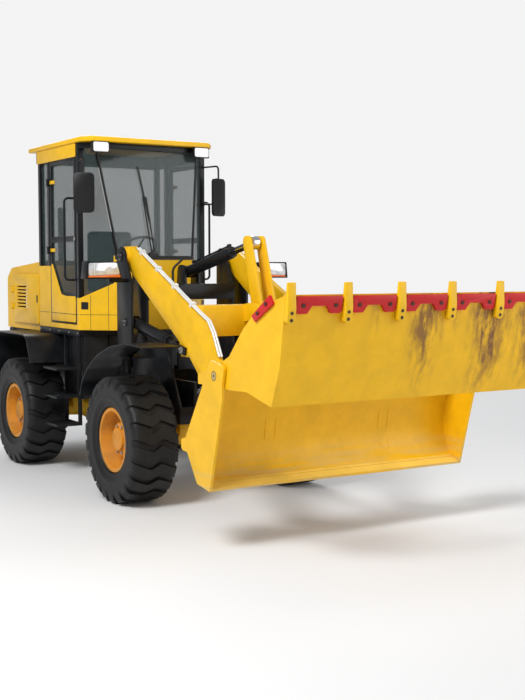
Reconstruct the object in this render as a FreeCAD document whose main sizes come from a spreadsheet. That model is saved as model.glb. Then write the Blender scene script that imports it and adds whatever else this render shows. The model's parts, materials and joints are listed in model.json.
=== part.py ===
import FreeCAD, Part
import math
import os
import Sketcher

# Wheel loader with a four-in-one bucket, shown with the clam swung open.
# Frame: +X forward, +Y to the loader's left, +Z up, origin on the ground below the
# middle of the loader's length. All lengths are millimetres, all angles degrees.

doc = FreeCAD.newDocument("WheelLoader")
sheet = doc.addObject("Spreadsheet::Sheet", "Sizes")
vector = FreeCAD.Vector
pieces = {}
LEAST_CUT = 1.0
NEAR = 0.01


class Size:
    """A number of the sheet, or a sum or product of them, with its expression."""

    def __init__(self, value, text):
        self.value = float(value)
        self.text = text

    def __add__(self, other):
        other = as_size(other)
        return Size(self.value + other.value, "(%s + %s)" % (self.text, other.text))

    __radd__ = __add__

    def __sub__(self, other):
        other = as_size(other)
        return Size(self.value - other.value, "(%s - %s)" % (self.text, other.text))

    def __rsub__(self, other):
        return as_size(other) - self

    def __mul__(self, other):
        other = as_size(other)
        return Size(self.value * other.value, "(%s * %s)" % (self.text, other.text))

    __rmul__ = __mul__

    def __truediv__(self, other):
        other = as_size(other)
        return Size(self.value / other.value, "(%s / %s)" % (self.text, other.text))

    def __neg__(self):
        return Size(-self.value, "(0 - %s)" % self.text)

    def __rtruediv__(self, other):
        return as_size(other) / self


def as_size(number):
    """Takes a plain number or a Size and gives a Size."""
    if isinstance(number, Size):
        return number
    return Size(number, "(%s)" % repr(float(number)))


def cosine(angle):
    """The cosine of an angle in degrees."""
    return Size(math.cos(math.radians(angle.value)), "cos(%s)" % angle.text)


def sine(angle):
    """The sine of an angle in degrees."""
    return Size(math.sin(math.radians(angle.value)), "sin(%s)" % angle.text)


def span(dx, dz):
    """The distance from one pin to another."""
    dx, dz = as_size(dx), as_size(dz)
    return Size(math.hypot(dx.value, dz.value), "sqrt(%s ^ 2 + %s ^ 2)" % (dx.text, dz.text))


def slope(dx, dz):
    """The angle above level of the line from one pin to another."""
    dx, dz = as_size(dx), as_size(dz)
    value = math.degrees(math.atan2(dz.value, dx.value))
    return Size(value, "(atan2(%s; %s) / 1 deg)" % (dz.text, dx.text))


class Cells:
    """The driving dimensions: each one a cell of the sheet and a Size here."""

    def __init__(self):
        self.row = 0

    def add(self, numbers):
        for name, number in numbers.items():
            self.row += 1
            sheet.set("A%d" % self.row, name)
            sheet.set("B%d" % self.row, repr(number))
            sheet.setAlias("B%d" % self.row, name)
            setattr(self, name, Size(number, "Sizes." + name))


c = Cells()


def bind(item, prop, size):
    """Ties one property of an object to the sheet."""
    item.setExpression(prop, as_size(size).text)


def place(item, x=0.0, y=0.0, z=0.0, angle=None, axis=(0, 1, 0)):
    """Puts an object at a point, turned by an angle about an axis."""
    if angle is not None:
        turn = FreeCAD.Rotation(vector(*axis), as_size(angle).value)
        item.Placement = FreeCAD.Placement(vector(0, 0, 0), turn)
        item.Placement.Rotation.Axis = vector(*axis)
        bind(item, "Placement.Rotation.Angle", angle)
    for letter, size in (("x", x), ("y", y), ("z", z)):
        bind(item, "Placement.Base." + letter, size)
    return item


def keep(name, item):
    """Makes an object one of the finished pieces."""
    item.Label = name
    pieces[name] = item
    return item


def origin_plane(body, role):
    """One of a body's own three base planes."""
    for feature in body.Origin.OriginFeatures:
        if feature.Role == role:
            return feature
    raise RuntimeError("no plane " + role)


def sketch(body, role, points, circles=(), lift=None):
    """A closed outline and its round holes, every point tied to the sheet."""
    item = body.newObject("Sketcher::SketchObject", "Outline")
    item.AttachmentSupport = [(origin_plane(body, role), "")]
    item.MapMode = "FlatFace"
    if lift is not None:
        item.setExpression("AttachmentOffset.Base.z", as_size(lift).text)
    corners = [(as_size(u), as_size(v)) for u, v in points]
    rounds = [(as_size(u), as_size(v), as_size(r)) for u, v, r in circles]
    count = len(corners)
    rules = []
    ties = []
    for index in range(count):
        first = corners[index]
        second = corners[(index + 1) % count]
        start = vector(first[0].value, first[1].value, 0)
        end = vector(second[0].value, second[1].value, 0)
        item.addGeometry(Part.LineSegment(start, end), False)
    for index in range(count):
        rules.append(Sketcher.Constraint("Coincident", index, 2, (index + 1) % count, 1))
    for index, (u, v) in enumerate(corners):
        ties.append((len(rules), u))
        rules.append(Sketcher.Constraint("DistanceX", -1, 1, index, 1, u.value))
        ties.append((len(rules), v))
        rules.append(Sketcher.Constraint("DistanceY", -1, 1, index, 1, v.value))
    for index, (u, v, r) in enumerate(rounds):
        circle = Part.Circle(vector(u.value, v.value, 0), vector(0, 0, 1), r.value)
        item.addGeometry(circle, False)
        ties.append((len(rules), u))
        rules.append(Sketcher.Constraint("DistanceX", -1, 1, count + index, 3, u.value))
        ties.append((len(rules), v))
        rules.append(Sketcher.Constraint("DistanceY", -1, 1, count + index, 3, v.value))
        ties.append((len(rules), r))
        rules.append(Sketcher.Constraint("Radius", count + index, r.value))
    item.addConstraint(rules)
    for index, size in ties:
        item.setExpression("Constraints[%d]" % index, size.text)
    return item


def new_body(name):
    """An empty body."""
    return doc.addObject("PartDesign::Body", name)


def pad(body, profile, length, symmetric=True, flip=False):
    """Thickens a sketch into the body."""
    feature = body.newObject("PartDesign::Pad", "Pad")
    feature.Profile = profile
    feature.SideType = "Symmetric" if symmetric else "One side"
    feature.Reversed = flip
    bind(feature, "Length", length)
    body.Tip = feature
    return feature


def pocket(body, profile, length, symmetric=True, flip=False):
    """Cuts a sketch out of the body and makes sure that something was cut."""
    body.recompute(True)
    before = body.Shape.Volume
    feature = body.newObject("PartDesign::Pocket", "Pocket")
    feature.Profile = profile
    feature.SideType = "Symmetric" if symmetric else "One side"
    feature.Reversed = flip
    bind(feature, "Length", length)
    body.Tip = feature
    body.recompute(True)
    if not body.Shape.Volume < before - LEAST_CUT:
        raise RuntimeError("a pocket of %s cuts nothing" % body.Name)
    return feature


def round_corners(body, role, corners, radius):
    """Rounds the pad's edges that stand on the given corners of its outline."""
    body.recompute(True)
    wanted = [(as_size(u).value, as_size(v).value) for u, v in corners]
    names = []
    base = body.Tip
    solid = base.Shape
    axes = {"XZ_Plane": (0, 2), "XY_Plane": (0, 1), "YZ_Plane": (1, 2)}[role]
    for index, edge in enumerate(solid.Edges):
        ends = [vertex.Point for vertex in edge.Vertexes]
        if len(ends) != 2:
            continue
        for u, v in wanted:
            near = [abs(end[axes[0]] - u) < NEAR and abs(end[axes[1]] - v) < NEAR for end in ends]
            if all(near):
                names.append("Edge%d" % (index + 1))
    if not names:
        raise RuntimeError("no corner of %s to round" % body.Name)
    feature = body.newObject("PartDesign::Fillet", "Round")
    feature.Base = (base, names)
    bind(feature, "Radius", radius)
    body.Tip = feature
    return feature


def side_plate(name, points, thickness, y, circles=(), rounds=()):
    """A plate that stands along the loader: outline in X and Z, its middle at y."""
    body = new_body(name)
    pad(body, sketch(body, "XZ_Plane", points, circles), thickness)
    for corners, radius in rounds:
        round_corners(body, "XZ_Plane", corners, radius)
    return place(body, 0, y, 0)


def level_plate(name, points, thickness, z, circles=(), rounds=()):
    """A plate that lies level: outline in X and Y, its middle at z."""
    body = new_body(name)
    pad(body, sketch(body, "XY_Plane", points, circles), thickness)
    for corners, radius in rounds:
        round_corners(body, "XY_Plane", corners, radius)
    return place(body, 0, 0, z)


def turned(name, points, x, y, z):
    """A turned piece about a line along Y: its outline is given as (radius, y)."""
    body = new_body(name)
    profile = sketch(body, "XY_Plane", points)
    feature = body.newObject("PartDesign::Revolution", "Turn")
    feature.Profile = profile
    feature.ReferenceAxis = (profile, ["V_Axis"])
    feature.Angle = 360
    body.Tip = feature
    return place(body, x, y, z)


def mirrored_y(points):
    """The same outline with its second coordinate turned round."""
    return [(u, -as_size(v)) for u, v in points]


def box(name, x0, x1, y0, y1, z0, z1):
    """A box between two values on each axis."""
    item = doc.addObject("Part::Box", name)
    bind(item, "Length", as_size(x1) - x0)
    bind(item, "Width", as_size(y1) - y0)
    bind(item, "Height", as_size(z1) - z0)
    return place(item, x0, y0, z0)


def bar_y(name, x, z, radius, y0, y1):
    """A round bar along Y."""
    item = doc.addObject("Part::Cylinder", name)
    bind(item, "Radius", radius)
    bind(item, "Height", as_size(y1) - y0)
    return place(item, x, y0, z, -90.0, (1, 0, 0))


def bar_z(name, x, y, radius, z0, z1):
    """A round bar along Z."""
    item = doc.addObject("Part::Cylinder", name)
    bind(item, "Radius", radius)
    bind(item, "Height", as_size(z1) - z0)
    return place(item, x, y, z0)


def bar_along(name, x, y, z, angle, start, end, radius):
    """A round bar in an upright plane along X, from start to end along its angle."""
    item = doc.addObject("Part::Cylinder", name)
    bind(item, "Radius", radius)
    bind(item, "Height", as_size(end) - start)
    return place(item, x + cosine(angle) * start, y, z + sine(angle) * start, 90.0 - angle, (0, 1, 0))


def joined(name, items):
    """One piece made of several."""
    item = doc.addObject("Part::MultiFuse", name)
    item.Shapes = items
    item.Refine = True
    return item


def cut(name, base, tools):
    """A piece with others cut out of it."""
    tool = tools[0]
    if len(tools) > 1:
        tool = doc.addObject("Part::MultiFuse", name + "_tools")
        tool.Shapes = tools
    item = doc.addObject("Part::Cut", name)
    item.Base = base
    item.Tool = tool
    item.Refine = True
    item.recompute(True)
    if not item.Shape.Volume < base.Shape.Volume - LEAST_CUT:
        raise RuntimeError("a cut of %s removes nothing" % name)
    return item


def group(name, items):
    """Several solids that do not touch, kept as one piece."""
    item = doc.addObject("Part::Compound", name)
    item.Links = items
    return item


def tube_path(name, points, radius, bend):
    """A round tube along straight runs joined by tangent arcs."""
    spots = [vector(*[as_size(number).value for number in point]) for point in points]
    curve = as_size(bend).value
    edges = []
    start = spots[0]
    for index in range(1, len(spots) - 1):
        corner = spots[index]
        back = (spots[index - 1] - corner).normalize()
        ahead = (spots[index + 1] - corner).normalize()
        half = back.getAngle(ahead) / 2.0
        reach = curve / math.tan(half)
        first = corner + back * reach
        last = corner + ahead * reach
        inner = (back + ahead).normalize()
        middle = corner + inner * (curve / math.sin(half) - curve)
        edges.append(Part.LineSegment(start, first).toShape())
        edges.append(Part.Arc(first, middle, last).toShape())
        start = last
    edges.append(Part.LineSegment(start, spots[-1]).toShape())
    path = Part.Wire(edges)
    ring = Part.Wire([Part.Circle(spots[0], spots[1] - spots[0], as_size(radius).value).toShape()])
    item = doc.addObject("Part::Feature", name)
    item.Shape = path.makePipeShell([ring], True, False)
    return item


# Main sizes
MAIN_SIZES = {
    "front_axle_x": 445.35, "wheelbase": 2400.0, "pivot_setback": 1200.0, "track": 1610.0,
    "tyre_radius": 537.5, "tyre_width": 410.0, "rim_seat_radius": 252.0, "rim_flange_radius": 274.0,
    "rim_half_width": 168.0, "rim_wall": 11.0, "fit_gap": 0.3, "pin_gap": 0.05, "side_gap": 6.0,
    "round_share": 0.8, "large_round_share": 0.9, "slant_share": 0.42,
}
c.add(MAIN_SIZES)
front_x = c.front_axle_x
rear_x = c.front_axle_x - c.wheelbase
pivot_x = c.front_axle_x - c.pivot_setback
half_track = c.track / 2

# Wheels: a deep dished rim, the tyre on it and a hub with a bore for the spindle
WHEEL_SIZES = {
    "bead_half": 156.7, "bead_step": 2.0, "wall_half": 196.0, "wall_low_radius": 300.0,
    "wall_high_radius": 446.0, "shoulder_half": 178.0, "shoulder_radius": 508.0, "lug_depth": 27.0,
    "disc_offset": 8.0, "disc_wall": 16.0, "hub_radius": 142.0, "hub_out": 96.0, "hub_in": 104.0,
    "hub_nose_radius": 96.0, "hub_nose": 128.0, "spindle_radius": 45.0, "spindle_depth": 60.0,
    "lug_count": 22.0, "lug_wide": 58.0, "lug_lean": 14.0, "lug_start": 12.0, "groove_half": 190.0,
    "wall_swell": 8.0,
}
c.add(WHEEL_SIZES)


def carcass():
    """The tyre without its lugs: its outline turned about its axis."""
    crown = c.tyre_radius - c.lug_depth
    half_line = [
        (crown, c.shoulder_half), (c.shoulder_radius - c.lug_depth, c.groove_half),
        (c.wall_high_radius, c.groove_half + c.wall_swell), (c.wall_low_radius, c.wall_half),
        (c.rim_flange_radius + c.bead_step, c.bead_half), (c.rim_seat_radius + c.fit_gap, c.bead_half),
    ]
    return turned("carcass", half_line + mirrored_y(reversed(half_line)), 0.0, 0.0, 0.0)


def lug_row(name, side):
    """The tread lugs from the middle of the tread over one shoulder, in a ring round the axis."""
    half = c.tyre_width / 2
    low = c.shoulder_radius - c.lug_depth * 2
    outline = [
        (c.lug_start, low + c.lug_depth), (c.lug_start, c.tyre_radius), (c.shoulder_half, c.tyre_radius),
        (half, c.shoulder_radius), (half, low), (c.groove_half, low),
    ]
    body = new_body(name)
    profile = sketch(body, "YZ_Plane", [(as_size(y) * side, z) for y, z in outline])
    profile.AttachmentOffset = FreeCAD.Placement(vector(0, 0, 0), FreeCAD.Rotation(vector(0, 1, 0), 1.0))
    bind(profile, "AttachmentOffset.Rotation.Angle", c.lug_lean)
    first = pad(body, profile, c.lug_wide)
    doc.recompute()
    ring = body.newObject("PartDesign::PolarPattern", "Ring")
    ring.Originals = [first]
    ring.Axis = (origin_plane(body, "Y_Axis"), [""])
    ring.Angle = 360
    bind(ring, "Occurrences", c.lug_count)
    body.Tip = ring
    half_pitch = as_size(90.0) * (1 - side) / c.lug_count
    return place(body, 0.0, 0.0, 0.0, half_pitch, (0, 1, 0))


tyre_form = joined("tyre", [carcass(), lug_row("left_lugs", 1), lug_row("right_lugs", -1)])
tyre_form.Refine = False


def wheel(name, x, side):
    """A tyre and its rim; side is +1 on the left of the loader and -1 on the right."""
    y = half_track * side
    keep("tyre_" + name, place(group("tyre_" + name, [tyre_form]), x, y, c.tyre_radius,
                               as_size(90.0) * (1 - side), (0, 0, 1)))
    inner = c.rim_seat_radius - c.rim_wall
    lip = c.rim_half_width - c.rim_wall
    bore = c.spindle_radius + c.fit_gap
    rim = [
        (bore, -c.hub_in), (c.hub_radius, -c.hub_in), (c.hub_radius, c.disc_offset),
        (inner, c.disc_offset), (inner, -c.rim_half_width),
        (c.rim_flange_radius, -c.rim_half_width), (c.rim_flange_radius, -lip),
        (c.rim_seat_radius, -lip), (c.rim_seat_radius, lip), (c.rim_flange_radius, lip),
        (c.rim_flange_radius, c.rim_half_width), (inner, c.rim_half_width),
        (inner, c.disc_offset + c.disc_wall), (c.hub_radius, c.disc_offset + c.disc_wall),
        (c.hub_radius, c.hub_out), (c.hub_nose_radius, c.hub_out),
        (c.hub_nose_radius, c.hub_nose), (0.0, c.hub_nose), (0.0, c.spindle_depth),
        (bore, c.spindle_depth),
    ]
    outline = [(u, as_size(v) * side) for u, v in rim]
    keep("rim_" + name, turned("rim_" + name, outline, x, y, c.tyre_radius))


WHEELS = (("front_left", front_x, 1), ("front_right", front_x, -1),
          ("rear_left", rear_x, 1), ("rear_right", rear_x, -1))
for wheel_name, wheel_x, wheel_side in WHEELS:
    wheel(wheel_name, wheel_x, wheel_side)

# Axles: a round differential case, tapered tubes, brake drums and the wheel spindles
AXLE_SIZES = {
    "case_radius": 190.0, "case_half": 95.0, "neck_radius": 92.0, "neck_y": 250.0, "tube_radius": 78.0,
    "tube_y": 560.0, "drum_radius": 128.0, "drum_end_gap": 9.0, "pad_half_x": 110.0, "pad_y": 330.0,
    "pad_width": 120.0, "pad_height": 118.0,
}
c.add(AXLE_SIZES)
spindle_tip = half_track + c.spindle_depth - c.side_gap
drum_end = half_track - c.hub_in - c.drum_end_gap
spindle = c.spindle_radius


def axle(name, x):
    """One axle with its two bolted pads under the frame."""
    half_line = [
        (spindle, spindle_tip), (spindle, drum_end), (c.drum_radius, drum_end),
        (c.drum_radius, c.tube_y), (c.tube_radius, c.tube_y), (c.neck_radius, c.neck_y),
        (c.case_radius, c.case_half),
    ]
    points = [(0.0, spindle_tip)] + half_line
    points += mirrored_y(reversed(half_line)) + [(0.0, -spindle_tip)]
    shell = turned(name + "_case", points, x, 0.0, c.tyre_radius)
    items = [shell]
    for side in (-1, 1):
        y = c.pad_y * side
        items.append(box(name + "_pad", x - c.pad_half_x, x + c.pad_half_x, y - c.pad_width / 2,
                         y + c.pad_width / 2, c.tyre_radius, c.tyre_radius + c.pad_height))
    return keep(name, joined(name, items))


axle("front_axle", front_x)
axle("rear_axle", rear_x)
pad_top = c.tyre_radius + c.pad_height

# Front frame: two pairs of tower plates on two rails, closed by cross plates
FRONT_FRAME_SIZES = {
    "arm_y": 515.0, "arm_wall": 46.0, "tower_wall": 22.0, "tower_half_gap": 65.0,
    "boom_pivot_x": -615.0, "boom_pivot_z": 2085.0, "boom_pin_radius": 40.0, "tower_top_radius": 85.0,
    "tower_back_x": -700.0, "tower_front_x": -400.0, "tower_knee_z": 1850.0, "outer_low_z": 1180.0,
    "tower_shelf_z": 1300.0, "tower_nose_x": 230.0, "tower_nose_z": 800.0, "tower_shelf_x": -20.0,
    "rail_y": 300.0, "rail_wall": 28.0, "rail_top_z": 1010.0, "joint_reach": 170.0, "cross_wall": 24.0,
    "lift_base_x": -520.0, "lift_base_z": 1500.0, "cylinder_pin_radius": 30.0, "tilt_base_x": -450.0,
    "tilt_base_z": 1950.0, "tilt_lug_wall": 25.0, "tilt_eye_half": 34.0, "tilt_base_half": 52.0,
    "tilt_beam_low_z": 1700.0, "tilt_beam_high_z": 1840.0, "tilt_lug_radius": 62.0,
    "tilt_beam_half": 80.0, "hinge_low_z": 720.0, "hinge_high_z": 945.0, "hinge_eye_wall": 60.0,
    "fork_wall": 26.0, "hinge_pin_radius": 45.0, "hinge_eye_radius": 100.0, "hinge_root_half": 200.0,
    "fork_gap": 6.0,
}
c.add(FRONT_FRAME_SIZES)
boom_x = front_x + c.boom_pivot_x
boom_z = c.boom_pivot_z
lift_x = front_x + c.lift_base_x
lift_z = c.lift_base_z
tilt_x = front_x + c.tilt_base_x
tilt_z = c.tilt_base_z
tower_in = c.arm_y - c.tower_half_gap - c.tower_wall / 2
tower_out = c.arm_y + c.tower_half_gap + c.tower_wall / 2
tower_back = front_x + c.tower_back_x
tower_nose = front_x + c.tower_nose_x
front_end = pivot_x + c.joint_reach
rear_end = pivot_x - c.joint_reach


def hinge_plate(name, root_x, z, wall):
    """A level plate from a frame's end to a round eye on the steering pivot."""
    way = 1 if root_x.value > pivot_x.value else -1
    eye = c.hinge_eye_radius
    tip = pivot_x - eye * way
    points = [(root_x, -c.hinge_root_half), (tip, -eye), (tip, eye), (root_x, c.hinge_root_half)]
    ends = [(tip, -eye), (tip, eye)]
    return level_plate(name, points, wall, z, rounds=((ends, eye * c.round_share),))


def front_frame():
    """Towers, rails, cross plates, steering eyes and the bracket of the tilt cylinder."""
    top = boom_z + c.tower_top_radius
    upper = [
        (front_x + c.tower_front_x, c.tower_shelf_z), (front_x + c.tower_front_x, c.tower_knee_z),
        (boom_x + c.tower_top_radius, boom_z), (boom_x + c.tower_top_radius, top),
        (boom_x - c.tower_top_radius, top),
    ]
    ends = upper[3:]
    inner = [
        (tower_back, pad_top), (tower_nose, pad_top), (tower_nose, c.tower_nose_z),
        (front_x + c.tower_shelf_x, c.tower_shelf_z),
    ] + upper
    outer = [(tower_back, c.outer_low_z), (front_x + c.tower_front_x, c.outer_low_z)] + upper
    items = []
    for side in (-1, 1):
        for y, outline in ((tower_in, inner), (tower_out, outer)):
            items.append(side_plate("tower", outline, c.tower_wall, y * side,
                                    rounds=((ends, c.tower_top_radius * c.large_round_share),)))
        low, high = (tower_in, tower_out) if side == 1 else (-tower_out, -tower_in)
        items.append(bar_y("boom_pin", boom_x, boom_z, c.boom_pin_radius, low, high))
        items.append(bar_y("cylinder_pin", lift_x, lift_z, c.cylinder_pin_radius, low, high))
        items.append(box("shelf", tower_back, front_x + c.tower_front_x, low, high, c.outer_low_z,
                         c.outer_low_z + c.cross_wall))
        items.append(box("rail", front_end, tower_nose, c.rail_y * side - c.rail_wall / 2,
                         c.rail_y * side + c.rail_wall / 2, pad_top, c.rail_top_z))
        lug_y = (c.tilt_base_half + c.side_gap + c.tilt_lug_wall / 2) * side
        lug = [
            (tilt_x - c.tilt_beam_half, c.tilt_beam_high_z),
            (tilt_x + c.tilt_beam_half, c.tilt_beam_high_z),
            (tilt_x + c.tilt_lug_radius, tilt_z + c.tilt_lug_radius),
            (tilt_x - c.tilt_lug_radius, tilt_z + c.tilt_lug_radius),
        ]
        items.append(side_plate("tilt_lug", lug, c.tilt_lug_wall, lug_y,
                                rounds=((lug[2:], c.tilt_lug_radius * c.large_round_share),)))
    lug_reach = c.tilt_base_half + c.side_gap + c.tilt_lug_wall
    items.append(box("tilt_beam", tilt_x - c.tilt_beam_half, tilt_x + c.tilt_beam_half, -tower_in,
                     tower_in, c.tilt_beam_low_z, c.tilt_beam_high_z))
    items.append(bar_y("tilt_pin", tilt_x, tilt_z, c.cylinder_pin_radius, -lug_reach, lug_reach))
    for x in (tower_back, tower_nose - c.cross_wall):
        items.append(box("cross", x, x + c.cross_wall, -tower_in, tower_in, pad_top,
                         c.tower_nose_z))
    items.append(box("end_plate", front_end, front_end + c.cross_wall, -c.rail_y, c.rail_y, pad_top,
                     c.rail_top_z))
    for z in (c.hinge_low_z, c.hinge_high_z):
        items.append(hinge_plate("steer_eye", front_end + c.cross_wall, z, c.hinge_eye_wall))
    whole = joined("front_frame_whole", items)
    bore = bar_z("steer_bore", pivot_x, 0.0, c.hinge_pin_radius + c.pin_gap, pad_top / 2,
                 c.rail_top_z + pad_top / 2)
    return keep("front_frame", cut("front_frame", whole, [bore]))


front_frame()

# Rear frame: two rails, steering forks and pin, cross plates and the cab's four legs
REAR_FRAME_SIZES = {
    "rear_tail_x": -3480.0, "cab_back_x": -2440.0, "platform_low_z": 1330.0, "platform_wall": 62.0,
    "leg_half": 70.0, "leg_front_x": -1470.0, "leg_back_x": -2300.0, "cab_half": 680.0,
}
c.add(REAR_FRAME_SIZES)
tail_x = front_x + c.rear_tail_x


def rear_frame():
    """Rails, forks, pin, cross plates and legs."""
    items = []
    for side in (-1, 1):
        items.append(box("rail", tail_x, rear_end, c.rail_y * side - c.rail_wall / 2,
                         c.rail_y * side + c.rail_wall / 2, pad_top, c.rail_top_z))
        for x in (c.leg_front_x, c.leg_back_x):
            items.append(box("leg", front_x + x - c.leg_half, front_x + x + c.leg_half,
                             c.rail_y * side - c.leg_half, c.rail_y * side + c.leg_half,
                             c.rail_top_z, c.platform_low_z))
    for x in (tail_x, rear_end - c.cross_wall):
        items.append(box("cross", x, x + c.cross_wall, -c.rail_y, c.rail_y, pad_top, c.rail_top_z))
    items.append(box("axle_cross", rear_x + c.leg_half, rear_x + c.leg_half + c.cross_wall, -c.rail_y,
                     c.rail_y, c.tyre_radius + c.case_radius + c.side_gap, c.rail_top_z))
    offset = c.hinge_eye_wall / 2 + c.fork_gap + c.fork_wall / 2
    for z in (c.hinge_low_z, c.hinge_high_z):
        for side in (-1, 1):
            items.append(hinge_plate("fork", rear_end - c.cross_wall, z + offset * side, c.fork_wall))
    low = c.hinge_low_z - offset - c.fork_wall
    high = c.hinge_high_z + offset + c.fork_wall
    items.append(bar_z("steer_pin", pivot_x, 0.0, c.hinge_pin_radius, low, high))
    return keep("rear_frame", joined("rear_frame", items))


rear_frame()
platform_top = c.platform_low_z + c.platform_wall
cab_back = front_x + c.cab_back_x
keep("cab_platform", box("cab_platform", cab_back, front_x + c.leg_front_x + c.leg_half,
                         -c.cab_half, c.cab_half, c.platform_low_z, platform_top))

# Boom: two bent arms joined by a box beam that carries the rocker
BOOM_SIZES = {
    "arm_end_radius": 90.0, "boss_radius": 76.0, "boss_gap": 5.0, "arm_top_x": 107.0, "arm_top_z": 92.0,
    "knee_x": 1340.0, "knee_z": -485.0, "brow_x": 1470.0, "brow_z": -540.0, "temple_x": 1551.0,
    "temple_z": -631.0, "shin_x": 1665.0, "shin_z": -832.0, "foot_x": 2115.0, "foot_z": -1385.0,
    "foot_radius": 80.0, "calf_x": 1383.0, "calf_z": -999.0, "hock_x": 1170.0, "hock_z": -815.0,
    "heel_x": 1010.0, "heel_z": -712.0, "throat_x": 42.0, "throat_z": -114.0, "eye_x": 1091.0,
    "eye_z": -775.0, "eye_radius": 55.0, "beam_back_x": 1095.0, "beam_front_x": 1335.0,
    "beam_low_z": -655.0, "beam_high_z": -405.0, "notch_x": 1165.0, "notch_half": 94.0,
    "rocker_pin_x": 1485.0, "rocker_pin_z": -445.0, "rocker_lug_wall": 28.0, "rocker_lug_radius": 60.0,
    "rocker_half": 64.0, "rocker_wall": 24.0, "end_cut_share": 0.6, "toe_share": 0.3, "ear_drop": 96.0,
    "ear_round": 42.0,
}
c.add(BOOM_SIZES)
bucket_pin_x = boom_x + c.foot_x
bucket_pin_z = boom_z + c.foot_z
lift_eye_x = boom_x + c.eye_x
lift_eye_z = boom_z + c.eye_z
rocker_x = boom_x + c.rocker_pin_x
rocker_z = boom_z + c.rocker_pin_z


def boom():
    """The two arms, the beam and the rocker's lugs."""
    def at(x, z):
        return (boom_x + x, boom_z + z)

    end = c.arm_end_radius
    foot = c.foot_radius
    outline = [
        at(-end, -end * c.end_cut_share), at(-end, end), at(c.arm_top_x, c.arm_top_z),
        at(c.knee_x, c.knee_z), at(c.brow_x, c.brow_z), at(c.temple_x, c.temple_z),
        at(c.shin_x, c.shin_z),
        at(c.foot_x + foot, c.foot_z + foot * c.toe_share),
        at(c.foot_x + foot * c.end_cut_share, c.foot_z - foot),
        at(c.foot_x - foot, c.foot_z - foot * c.end_cut_share),
        at(c.calf_x, c.calf_z), at(c.hock_x, c.hock_z),
        at(c.eye_x + c.eye_radius, c.eye_z - c.eye_radius),
        at(c.eye_x - c.eye_radius, c.eye_z - c.eye_radius),
        at(c.heel_x, c.heel_z), at(c.throat_x, c.throat_z),
    ]
    items = []
    bores = []
    for side in (-1, 1):
        items.append(side_plate("arm", outline, c.arm_wall, c.arm_y * side,
                                rounds=((outline[:2], end / 2), (outline[7:10], foot / 2))))
        reach = c.tower_half_gap - c.boss_gap
        items.append(bar_y("boss", boom_x, boom_z, c.boss_radius, c.arm_y * side - reach,
                           c.arm_y * side + reach))
        bores.append(bar_y("boom_bore", boom_x, boom_z, c.boom_pin_radius + c.pin_gap,
                           c.arm_y * side - c.tower_half_gap, c.arm_y * side + c.tower_half_gap))
        bores.append(bar_y("foot_bore", bucket_pin_x, bucket_pin_z, c.cylinder_pin_radius + c.pin_gap,
                           c.arm_y * side - c.tower_half_gap, c.arm_y * side + c.tower_half_gap))
        front = boom_x + c.beam_front_x
        ear = [
            (front - c.rocker_lug_radius, rocker_z - c.ear_drop),
            (front, rocker_z - c.ear_drop),
            (rocker_x + c.rocker_lug_radius, rocker_z - c.rocker_lug_radius),
            (rocker_x + c.rocker_lug_radius, rocker_z + c.rocker_lug_radius),
            (rocker_x - c.rocker_lug_radius, rocker_z + c.rocker_lug_radius),
            (front - c.rocker_lug_radius, boom_z + c.beam_high_z),
        ]
        ear_y = (c.rocker_half + c.rocker_wall / 2 + c.side_gap + c.rocker_lug_wall / 2) * side
        items.append(side_plate("rocker_ear", ear, c.rocker_lug_wall, ear_y,
                                rounds=((ear[2:5], c.ear_round),)))
    reach = c.rocker_half + c.rocker_wall / 2 + c.side_gap + c.rocker_lug_wall
    inner_face = c.arm_y - c.arm_wall / 2
    beam = box("beam", boom_x + c.beam_back_x, boom_x + c.beam_front_x, -inner_face, inner_face,
               boom_z + c.beam_low_z, boom_z + c.beam_high_z)
    notch = box("beam_notch", boom_x + c.notch_x, boom_x + c.beam_front_x + c.beam_front_x, -c.notch_half,
                c.notch_half, boom_z + c.beam_low_z * 2, boom_z)
    items.append(cut("notched_beam", beam, [notch]))
    items.append(bar_y("rocker_pin", rocker_x, rocker_z, c.cylinder_pin_radius, -reach, reach))
    return keep("boom", cut("boom", joined("boom_whole", items), bores))


boom()

# Pipes along the upper edge of the right arm, on welded clamp blocks
PIPE_SIZES = {
    "pipe_radius": 9.0, "pipe_lift": 20.0, "pipe_bend": 60.0, "pipe_near_y": -505.0, "pipe_far_y": -527.0,
    "pipe_back_x": 190.0, "pipe_front_x": 1655.0, "clamp_long": 34.0, "clamp_half": 23.0,
    "clamp_sink": 0.3, "clamp_first": 0.12, "clamp_pitch": 0.25, "clamp_count": 4.0,
    "clamp_high": 40.0, "pipe_step": 8.0,
}
c.add(PIPE_SIZES)


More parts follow.
